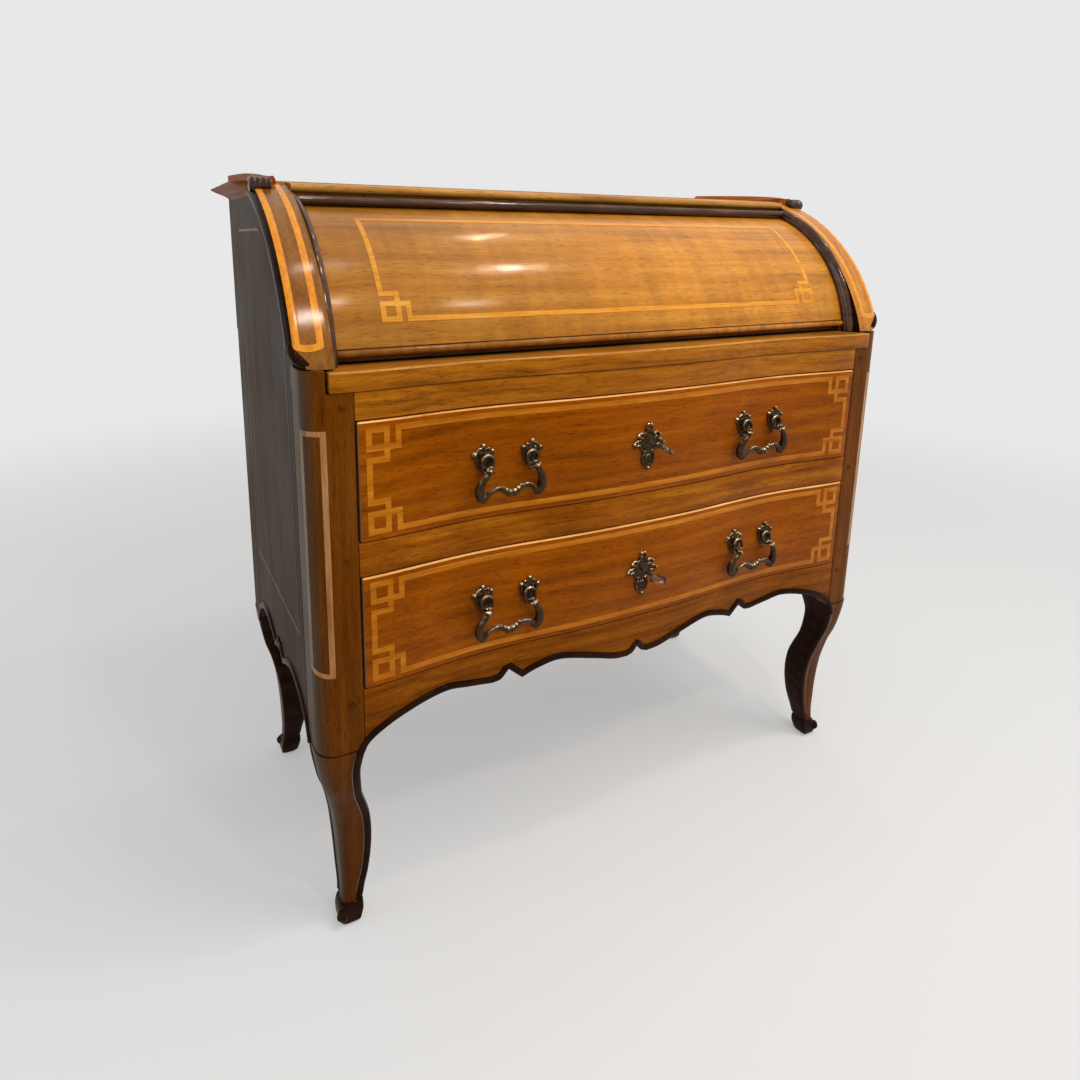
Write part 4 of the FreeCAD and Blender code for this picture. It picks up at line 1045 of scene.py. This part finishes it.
def legSection(z, corner):
    near, far, rounding, edge = legRow(min(z / leg["knee"], 1.0))
    near, far = near * leg["post"], far * leg["post"]
    if z < leg["knee"]:
        near -= leg["ledge"] * max(0.0, 1 - (leg["knee"] - z) / 60)  # the knee stands proud of the stile
    swell = 0.0
    if z <= leg["foot"]:  # neck, toe and rounded sole
        swell = -2.2 * math.exp(-((z - 36) / 2.2) ** 2) + 1.8 * math.exp(-((z - 20) / 10) ** 2)
        swell -= 5 * max(0.0, 1 - z / 7) ** 2
    bead = min(1.0, max(0.0, (leg["knee"] + 20 - z) / 40)) if z > leg["foot"] else 0.0
    return legOutline(near - swell, far + swell, max(1.5, corner * rounding), max(1.2, leg["edge"] * edge), bead)


def onToe(turn, row):  # volute on the outer corner
    share = row / toe["rows"]
    reach = toe["radius"] * math.sqrt(max(0.06, 1 - (abs(2 * share - 1) ** 4)))
    side = between(-toe["half"], toe["half"], share) * math.sqrt(0.5)
    angle = math.radians(turn)
    out = toe["inset"] - reach * math.cos(angle) * math.sqrt(0.5)
    return spot(desk["half"] - (out + side), out - side, toe["height"] + reach * math.sin(angle))


def makeLeg(name, corner, earRing):
    sections = [legSection(z, corner) for z in legLevels]
    count = len(sections[0])

    def onLeg(n, row):
        z = legLevels[row]
        turned = 2 * min(abs(n - 4), count - abs(n - 4)) / count
        z -= 7 * max(0.0, 1 - turned / 0.45) * math.exp(-((z - 37) / 7) ** 2)  # collar dips at the outer corner
        return spot(desk["half"] - sections[row][n][0], sections[row][n][1], z)

    def onEar(point, row):  # the stile's end above the drawers
        return spot(desk["half"] - point[0], point[1], desk["stileTop"] + desk["earStep"] * row)

    body = rollGrid(name, list(range(count)), len(legLevels) - 1, onLeg)
    volute = rollGrid(name + "_toe", [15 * n for n in range(24)], toe["rows"], onToe)
    return joinUp(name, [body, volute, rollGrid(name + "_ear", earRing, 2, onEar)])


stileRound = stileString["round"]
frontEar = [(stileRound * (1 - s), stileRound * (1 - c)) for c, s in arc(0, 90, 9)]
frontEar += [(0, 45), (0, 62), (14, 62), (27.5, 62), (27.5, 31)]
rearEar = [(0, 6), (1.8, 1.8), (6, 0), (30, 0), (62, 0), (62, 30), (62, 62), (30, 62), (0, 62), (0, 30)]
legs = {
    "front": {"corner": stileRound, "ear": frontEar, "finish": "walnutPosts"},
    "rear": {"corner": 6, "ear": rearEar, "finish": "walnutSides"},
}
legDark = {"foot": 33, "knee": (299.1, 300.7), "under": 304, "bead": 11.8, "quirk": 13.6, "quirkFrom": 48, "quirkTo": 296}


def legBeadAndShade(face, isRear):  # the bead is black; the faces behind it, the knee's line and the rear legs below the knee are black as painted shade, and the foot is black
    x, deep, z = inMm(face.center)
    far = legRow(min(z / leg["knee"], 1.0))[1] * leg["post"]
    inner = max(desk["half"] - abs(x), desk["back"] - deep if isRear else deep)
    if z < legDark["foot"] or legDark["knee"][0] < z < legDark["knee"][1]:
        return 1
    if z < legDark["under"] and (isRear or inner > far - legDark["bead"]):
        return 1
    wearAndHighlight = legDark["quirkFrom"] < z < legDark["quirkTo"] and inner > far - legDark["quirk"]
    return 2 if wearAndHighlight else 0  # edge of the quirk beside the bead, pale as a painted highlight


wall = frontPlane + desk["back"] / 1000
for row, post in legs.items():
    piece = makeLeg("leg_stile_" + row, post["corner"], post["ear"])
    if row == "rear":  # turned to face backwards, flat at the wall
        for point in piece.data.vertices:
            point.co.y = min(frontPlane + wall - point.co.y, wall)
        turnOver(piece)
    for half in handOverPair(piece, "leg_stile_" + row, "walnut", post["finish"], "leg_" + row, smooth=42):
        dressFaces(half, lambda face: legBeadAndShade(face, row == "rear"), "blackMouldingAndShade", "boxwoodGreySheen")
print("legs done")

# Aprons: scalloped boards with a dark half-round bead along the lower edge.
# The runs are drawn from the end to the middle: (share of the half length, share of the drop)
apron = {"head": 388, "frontHead": 387.6, "drop": 88, "half": 451, "sideHalf": 183, "back": 24, "sideBack": 493, "rows": 5,
         "runs": [
             [(1.0, 1.0), (0.992, 0.93), (0.970, 0.835), (0.932, 0.73), (0.885, 0.635), (0.80, 0.52), (0.723, 0.475),
              (0.652, 0.53), (0.567, 0.59)],
             [(0.567, 0.59), (0.537, 0.565), (0.519, 0.48), (0.508, 0.41)],
             [(0.508, 0.41), (0.459, 0.625)],
             [(0.459, 0.625), (0.40, 0.52), (0.315, 0.455), (0.188, 0.60), (0.10, 0.725), (0.044, 0.75)],
             [(0.044, 0.75), (0.018, 0.70), (0.0, 0.59)]],
         "sideRuns": [
             [(1.0, 1.0), (0.982, 0.92), (0.945, 0.81), (0.88, 0.69), (0.72, 0.53), (0.50, 0.47), (0.30, 0.58),
              (0.16, 0.72)],
             [(0.16, 0.72), (0.09, 0.66), (0.04, 0.52)],
             [(0.04, 0.52), (0.0, 0.64)]]}
apronBead = {"wide": 10, "proud": 4, "sunk": 0.4, "tail": ((-7, -20), (-5.4, -13), (-3, -6)),
             "sideTail": ((-2.6, -8), (-1, -3))}


def mirrorLine(line):
    return [Vector((-p.x, p.y)) for p in reversed(line)]


def scallopLine(runs, half):  # (place, height) from one end to the other
    line = []
    for run in runs:
        points = [Vector((-half * a, apron["head"] - apron["drop"] * d)) for a, d in run]
        line += smoothPath(points, 7)[:-1]
    last = Vector((0, apron["head"] - apron["drop"] * runs[-1][-1][1]))
    return line + [last] + mirrorLine(line)


def makeApron(name, line, place, back, top):
    piece = layGrid(
        name, len(line) - 1, apron["rows"],
        lambda c, r: place(line[c].x, 0, between(line[c].y, top, r / apron["rows"])),
    )
    editAll(piece)
    bpy.ops.mesh.extrude_region_move(TRANSFORM_OT_translate={"value": (0, 0, 0)})
    pickNone()
    for point in piece.data.vertices:
        if point.select:
            point.co = back(point.co)
    editAll(piece)
    bpy.ops.mesh.normals_make_consistent(inside=False)
    pickNone()
    return piece


def makeBead(name, line, place, tail):
    tail = [line[0] + Vector(p) for p in tail]  # runs on down the leg
    line = tail + line + mirrorLine(tail)
    count = len(line)
    rise = []
    for index in range(count):
        run = (line[min(index + 1, count - 1)] - line[max(index - 1, 0)]).normalized()
        rise.append(Vector((-run.y, run.x)))
    ring = [(0.0, 0.0)] + [(0.5 - 0.5 * c, s ** 0.7) for c, s in arc(0, 180, 9)[1:-1]]
    ring += [(1.0, 0.0), (1.0, -0.3), (0.04, -0.3)]

    def put(point, row):
        across, out = point
        p = line[row] + rise[row] * (across * apronBead["wide"] - apronBead["sunk"])
        return place(p.x, out * apronBead["proud"], p.y)

    return rollGrid(name, ring, count - 1, put)


def onFront(x, out, z):
    return spot(x, frontLine(x) - out, z)


def onSide(y, out, z):
    return spot(desk["half"] + out, desk["middle"] + y, z)


line = scallopLine(apron["runs"], apron["half"])
apronBack = frontPlane + apron["back"] / 1000
piece = makeApron("front_apron_board", line, onFront, lambda p: Vector((p.x, apronBack, p.z)), apron["frontHead"])
softenEdges(piece, 0.6, 60)
handOver(piece, "case", "walnut", "walnutApron", "front_apron")
beads = [makeBead("apron_bead", line, onFront, apronBead["tail"])]
line = scallopLine(apron["sideRuns"], apron["sideHalf"])
sideBack = apron["sideBack"] / 1000
piece = makeApron("side_apron_board", line, onSide, lambda p: Vector((sideBack, p.y, p.z)), apron["head"])
handOverPair(piece, "side_apron_board", "walnut", "walnutSides", "side_apron")
bead = makeBead("side_bead", line, onSide, apronBead["sideTail"])
beads += [bead, copyPiece(bead, "side_bead_left", mirrored=True)]
piece = joinUp("apron_beads_carved", beads)
handOver(piece, "case", "dark_moulding", "blackMouldingAndShade", "apron_beads", smooth=50)
print("aprons done")


# Cast hardware: rods and balls melted together, then thinned. Sizes are (across, up, out) from a piece's own middle
handle = {"place": 236, "pitch": 68, "lift": 8, "eye": -12, "bailDrop": 2, "rosetteDrop": 3, "plateLift": 4}
casting = {"grain": 0.6, "keep": 0.3, "out": 2.4, "sides": 10, "steps": 6}


def local(a, b, c):  # across, out from the surface, up: millimetres
    return Vector((a / 1000, -b / 1000, c / 1000))


def bendRod(path, sizes):
    count = len(path)
    ways = [(path[min(n + 1, count - 1)] - path[max(n - 1, 0)]).normalized() for n in range(count)]
    flat = Vector((0, 1, 0)) if abs(ways[0].y) < 0.9 else Vector((1, 0, 0))
    sidesAt = []
    for way in ways:
        flat = (flat - way * flat.dot(way)).normalized()
        sidesAt.append((flat, way.cross(flat)))

    def put(side, row):
        a, b = sidesAt[row]
        angle = 2 * math.pi * side / casting["sides"]
        place = row / (count - 1) * (len(sizes) - 1)
        step = min(int(place), len(sizes) - 2)
        size = between(sizes[step], sizes[step + 1], place - step)
        return path[row] + (a * math.cos(angle) + b * math.sin(angle)) * size / 1000

    return rollGrid("rod", list(range(casting["sides"])), count - 1, put)


def scroll(points, sizes):  # a rod through the points, flat on the surface where none stands out
    path = [local(a, out[0] if out else casting["out"], c) for a, c, *out in points]
    return bendRod(smoothPath(path, casting["steps"]), sizes)


def ball(a, b, c, size, flat=1.0):
    pickNone()
    bpy.ops.mesh.primitive_uv_sphere_add(
        segments=20, ring_count=12, radius=size / 1000, location=local(a, b, c), scale=(1, flat, 1),
    )
    piece = bpy.context.object
    bpy.ops.object.transform_apply(location=True, rotation=True, scale=True)
    return piece


def melt(name, parts):
    piece = joinUp(name, parts)
    useModifier(piece, "REMESH", mode="VOXEL", voxel_size=casting["grain"] / 1000)
    useModifier(piece, "SMOOTH", factor=0.5, iterations=3)
    useModifier(piece, "DECIMATE", ratio=casting["keep"])
    return piece


rosetteCast = {"scale": 0.93, "scrolls": [
    ([(-1, 17), (-7, 18), (-12.5, 14.5), (-15, 7), (-13.5, -2), (-9.5, -11), (-4, -18)], (1.8, 2.6, 3.2, 3.0, 2.4, 1.8)),
    ([(0, 17), (6, 15), (10, 9), (10.5, 1), (7.5, -8), (2.5, -16)], (1.6, 2.4, 2.6, 2.2, 1.6)),
    ([(-14, 6), (-18, 6), (-20.5, 9), (-18.5, 12.5), (-15.5, 11.5)], (2.4, 2.4, 2.0, 1.4)),
    ([(9, 9), (12.5, 11), (12.5, 14.6), (9.6, 15.4)], (2.0, 1.9, 1.3)),
    ([(-4, -18), (-0.5, -21), (3, -18.5), (1.5, -15.5)], (1.8, 1.9, 1.3)),
    ([(-2, 12), (-4.5, 17), (-3.5, 21)], (2.6, 2.2, 1.6)),
    ([(0, 0, 0), (0, 0, 5)], (7.5, 6.2)),
], "balls": [  # across, out, up, radius, flatness
    (-3.6, 3.2, 22.5, 3.3), (-17.5, 3.4, 10.5, 3.0), (11, 3.2, 13.5, 2.6), (-0.5, 3, -20, 2.9), (5, 3, 17.5, 2.2),
    (-1, 1.2, 7, 9.5, 0.45), (-1, 1.5, -7, 8, 0.5), (-8, 2.2, 11, 4.4, 0.8), (5, 2.2, 10, 4, 0.8),
], "eye": ([(9.2 * c, -2 + 10.2 * s, 10.5 - 1.2 * s) for c, s in arc(0, 360, 12)], (2.6, 3.2, 2.6, 3.6, 2.6))}
parts = [scroll(*drawn) for drawn in rosetteCast["scrolls"]] + [ball(*drawn) for drawn in rosetteCast["balls"]]
rosette = melt("rosette", parts + [scroll(*rosetteCast["eye"])])
for point in rosette.data.vertices:
    point.co.x *= rosetteCast["scale"]
    point.co.z *= rosetteCast["scale"]

bailCast = {"out": 12, "arm": [  # across, up, out from the eye's own plane: it hangs back against the drawer
    (-34.4, -9, 12), (-36.6, -13.5, 12), (-41.6, -20, 11.5), (-46.6, -28.5, 9.5), (-49, -38.5, 7), (-47.4, -47.5, 5.5),
    (-43, -52, 5.5), (-39, -49.5, 6.5), (-36, -45.5, 7), (-30.5, -41.4, 8), (-22.5, -38.8, 8.5), (-14.5, -40.2, 8),
    (-8.6, -44.6, 7), (-5.5, -48, 6.5)],
    "armSizes": (3.0, 3.6, 4.6, 5.8, 6.6, 6.8, 6.0, 4.6, 3.8, 3.6, 3.6, 3.6, 3.4, 2.8),
    "scrolls": [
        ([(34.4, -11, 11), (34, -5, 11.5)], (3.0, 2.8)),
        ([(30.5, -13.5, 12), (36, -12.5, 15), (41.5, -9.5, 12.5)], (2.2, 3.2, 2.2)),
        ([(39.5, -48.5, 9.4), (35.5, -43.2, 10.4), (30, -39.2, 11.4), (22.5, -36.6, 11.9), (14.6, -38.4, 11.4)],
         (1.4, 2.0, 2.2, 2.0, 1.4))],
    "balls": [(43.4, 6.5, -52.5, 5.4), (15, 8, -40.6, 4.8, 0.9), (9.8, 8, -44, 5.2, 0.9), (3.6, 8, -47.4, 6, 0.9)]}
arm = bendRod(smoothPath([local(a, out, c) for a, c, out in bailCast["arm"]], 5), bailCast["armSizes"])
parts = [arm, copyPiece(arm, "arm", mirrored=True)]


def bothWays(drawn):  # scrolls and balls of the left half, then of the right half
    made = []
    for side in (-1, 1):
        made += [scroll([(side * a, *rest) for a, *rest in points], sizes) for points, sizes in drawn["scrolls"]]
        made += [ball(side * a, *rest) for a, *rest in drawn["balls"]]
    return made


bail = melt("bail", parts + bothWays(bailCast))
for point in bail.data.vertices:
    point.co.y += bailCast["out"] / 1000

plateCast = {"stretch": 1.12, "rear": 0.4, "scrolls": [
    ([(1, 25), (4.5, 20), (4, 14), (7.5, 10.5), (13, 11.5), (17.5, 8.5), (15, 4.5), (11, 5.5)], (1.4, 1.9, 2.3, 2.1, 1.3)),
    ([(9, 4), (15, 0.5), (20.5, -1), (24.2, -4.6), (21, -8.6), (16, -7), (12, -12), (7, -19)], (1.4, 2.2, 2.2, 2.0, 1.8)),
    ([(5, -16), (8.4, -21), (9.4, -28), (7.6, -35), (4, -40.5), (0, -45)], (1.5, 2.1, 2.3, 2.0, 1.5)),
    ([(1, -22), (3.4, -27), (3.4, -33), (1, -38)], (1.2, 1.6, 1.2)),
], "balls": [
    (17.5, 3, 8.5, 2.6), (9.5, 3, 9.8, 2.4), (24, 3, -4.6, 2.9), (19, 2.8, -1.6, 2.2), (2.6, 3, 24.8, 2.5),
    (7, 2.4, -37, 2.0), (6, 0.4, -4, 9, 0.28), (2.5, 0.4, -29, 7, 0.25),
], "middle": [
    (0, 0.5, 0, 12, 0.3), (0, 0.5, 12, 6.5, 0.35), (0, 0.5, -14, 8, 0.3), (0, 3.4, -43, 2.8), (0, 0.5, -30, 7.5, 0.3)]}
plate = melt("plate", bothWays(plateCast) + [ball(*drawn) for drawn in plateCast["middle"]])
for point in plate.data.vertices:  # the rear lies flat on the drawer
    point.co.x *= plateCast["stretch"]
    point.co.y = min(point.co.y, plateCast["rear"] / 1000)

nuts = ((23.4, 28, 7), (28, 34, 3))  # nut and stem end inside the drawer: from, to, radius
for name, low in drawerLow.items():
    body = name + "_drawer"
    middle = low + drawer["tall"] / 2 + 0.2
    level = middle + handle["lift"]
    fittings = []
    for side, sideName in ((-1, "left"), (1, "right")):
        centre = side * handle["place"]
        place = spot(centre, handle["eye"], level - handle["bailDrop"])
        piece = copyPiece(bail, "bail_cast_" + name + "_" + sideName, place=place)
        handOver(piece, name + "_" + sideName + "_bail", "bronze", "bronze", "bail_" + name + "_" + sideName, smooth=60)
        for half in (-1, 1):
            x = centre + half * handle["pitch"] / 2
            place = spot(x, frontLine(x) - drawer["proud"], level - handle["rosetteDrop"])
            fittings.append(copyPiece(rosette, "rosette_" + name, mirrored=half > 0, place=place))
            for start, end, size in nuts:
                pickNone()
                bpy.ops.mesh.primitive_cylinder_add(
                    vertices=24, radius=size / 1000, depth=(end - start) / 1000,
                    location=spot(x, (start + end) / 2, level), rotation=(math.pi / 2, 0, 0),
                )
                nut = bpy.context.object
                bpy.ops.object.transform_apply(location=True, rotation=True, scale=True)
                softenEdges(nut, 0.6)
                fittings.append(nut)
    piece = joinUp("handle_rosettes_" + name, fittings)
    handOver(piece, body, "bronze", "bronze", name + "_handle_posts", smooth=60)
    place = spot(0, -drawer["proud"], middle + handle["plateLift"])
    piece = copyPiece(plate, "escutcheon_cast_" + name, place=place)
    handOver(piece, body, "bronze", "bronze", name + "_escutcheon", smooth=60)
pickNone()
for pattern in (rosette, bail, plate):
    pattern.select_set(True)
bpy.ops.object.delete()
print("hardware done")

# Stage: pale floor that fades into the background
stage = {"colour": "#D5D5D5", "background": "#E8E8E8", "fill": "#F0F0F0", "fillPower": 0.54, "bright": 0.4, "size": 9.0,
         "near": 1.3, "far": 3.6}


def shownRays(tree):  # rays from the camera, and those that metal and gloss send on
    rays = addNode(tree, "ShaderNodeLightPath").outputs
    shown = rays["Is Camera Ray"]
    for kind in ("Is Glossy Ray", "Is Transmission Ray"):
        shown = addNode(tree, "ShaderNodeMath", {0: shown, 1: rays[kind]}, operation="MAXIMUM").outputs[0]
    return shown


pickNone()
bpy.ops.mesh.primitive_plane_add(size=stage["size"], location=(0, 0, -0.0005))
floor = bpy.context.object
floor.name = "studio_floor"
bpy.ops.object.transform_apply(location=True, rotation=True, scale=True)
finish, tree, surface, place = newFinish("studio_floor")
setSockets(tree, surface, values={
    "Base Color": hexColour(stage["colour"]), "Roughness": 0.9, "Specular IOR Level": 0.1,
})
reach = addNode(tree, "ShaderNodeVectorMath", {0: place}, operation="LENGTH")
fade = addNode(
    tree, "ShaderNodeMapRange", {0: reach.outputs["Value"]}, rangeOf(stage["near"], stage["far"], 0.0, 1.0),
    interpolation_type="SMOOTHSTEP",
)
clear = addNode(tree, "ShaderNodeBsdfTransparent")
part = addNode(tree, "ShaderNodeMath", {0: shownRays(tree)}, {1: stage["bright"]}, operation="MULTIPLY")
glow = addNode(tree, "ShaderNodeEmission", values={"Color": hexColour(stage["background"]), "Strength": 1.0})
pale = addNode(tree, "ShaderNodeMixShader", {0: part.outputs[0], 1: surface.outputs[0], 2: glow.outputs[0]})
blend = addNode(tree, "ShaderNodeMixShader", {0: fade.outputs[0], 1: pale.outputs[0], 2: clear.outputs[0]})
setSockets(tree, next(n for n in tree.nodes if n.type == "OUTPUT_MATERIAL"), {"Surface": blend.outputs[0]})
floor.data.materials.append(finish)

world = bpy.data.worlds.new("studio")
bpy.context.scene.world = world
world.use_nodes = True
tree = world.node_tree
tree.nodes.clear()
seen = addNode(tree, "ShaderNodeBackground", values={"Color": hexColour(stage["background"]), "Strength": 1.0})
fill = addNode(tree, "ShaderNodeBackground", values={"Color": hexColour(stage["fill"]), "Strength": stage["fillPower"]})
mixed = addNode(tree, "ShaderNodeMixShader", {0: shownRays(tree), 1: fill.outputs[0], 2: seen.outputs[0]})
addNode(tree, "ShaderNodeOutputWorld", {"Surface": mixed.outputs[0]})

# Lamps: soft light from the front right, a cool one from the left, small ones that the polish mirrors
lamps = {
    "key_softbox": {"place": (1.9, -1.6, 3.1), "size": 2.0, "power": 46, "colour": "#FFFAF4", "shine": False},
    "front_softbox": {"place": (-0.2, -3.2, 2.4), "size": 2.2, "power": 26, "colour": "#FFFAF4", "shine": False},
    "top_softbox": {"place": (0.2, -0.2, 3.4), "size": 2.6, "power": 19, "colour": "#FFFFFF", "shine": False},
    "left_window": {"place": (-3.0, 0.2, 1.3), "size": 1.5, "power": 16, "colour": "#DCE4F4", "shine": True},
    "ceiling_lamp_a": {"place": (0.84, 0.42, 3.07), "size": 0.10, "power": 3.2, "colour": "#FFF0D8", "shine": True},
    "ceiling_lamp_b": {"place": (0.94, -0.77, 2.95), "size": 0.14, "power": 9.0, "colour": "#FFF4E4", "shine": True},
    "ceiling_lamp_c": {"place": (0.75, -1.71, 2.41), "size": 0.10, "power": 3.2, "colour": "#FFF0D8", "shine": True},
    "ceiling_lamp_d": {"place": (0.05, -1.72, 2.64), "size": 0.20, "power": 9.5, "colour": "#FFF8F0", "shine": True},
    "ceiling_lamp_e": {"place": (0.08, -0.70, 3.20), "size": 0.16, "power": 4.0, "colour": "#FFF8F0", "shine": True},
}
lampAim = Vector((0, 0, 0.6))
for name, lamp in lamps.items():
    pickNone()
    bpy.ops.object.light_add(type="AREA", location=lamp["place"])
    light = bpy.context.object
    light.name = name
    light.rotation_euler = (lampAim - Vector(lamp["place"])).to_track_quat("-Z", "Y").to_euler()
    light.data.shape = "DISK"
    light.data.size = lamp["size"]
    light.data.energy = lamp["power"]
    light.data.color = hexColour(lamp["colour"])[:3]
    light.visible_glossy = lamp["shine"]

# Camera at the photograph's place
view = {"place": (-0.7003, -1.0772, 0.9717), "yaw": 27.265, "pitch": 12.158, "roll": 0.459, "focal": 741.98,
        "middle": (496.79, 399.74), "image": 1080, "sensor": 36}
yaw, pitch, roll = [math.radians(view[k]) for k in ("yaw", "pitch", "roll")]
right = Vector((math.cos(yaw), -math.sin(yaw), 0))
ahead = Vector((math.sin(yaw) * math.cos(pitch), math.cos(yaw) * math.cos(pitch), -math.sin(pitch)))
up = right.cross(ahead)
turnedRight = right * math.cos(roll) + up * math.sin(roll)
turnedUp = -right * math.sin(roll) + up * math.cos(roll)
pickNone()
bpy.ops.object.camera_add()
camera = bpy.context.object
camera.name = "photograph_camera"
camera.matrix_world = (
    Matrix.Translation(view["place"]) @ Matrix((turnedRight, turnedUp, -ahead)).transposed().to_4x4()
)
camera.data.sensor_width = view["sensor"]
camera.data.lens = view["focal"] * view["sensor"] / view["image"]
camera.data.shift_x = (view["image"] / 2 - view["middle"][0]) / view["image"]
camera.data.shift_y = (view["middle"][1] - view["image"] / 2) / view["image"]
camera.data.clip_end = 50
bpy.context.scene.camera = camera
bpy.context.scene.view_settings.view_transform = "Standard"

print("scene done")
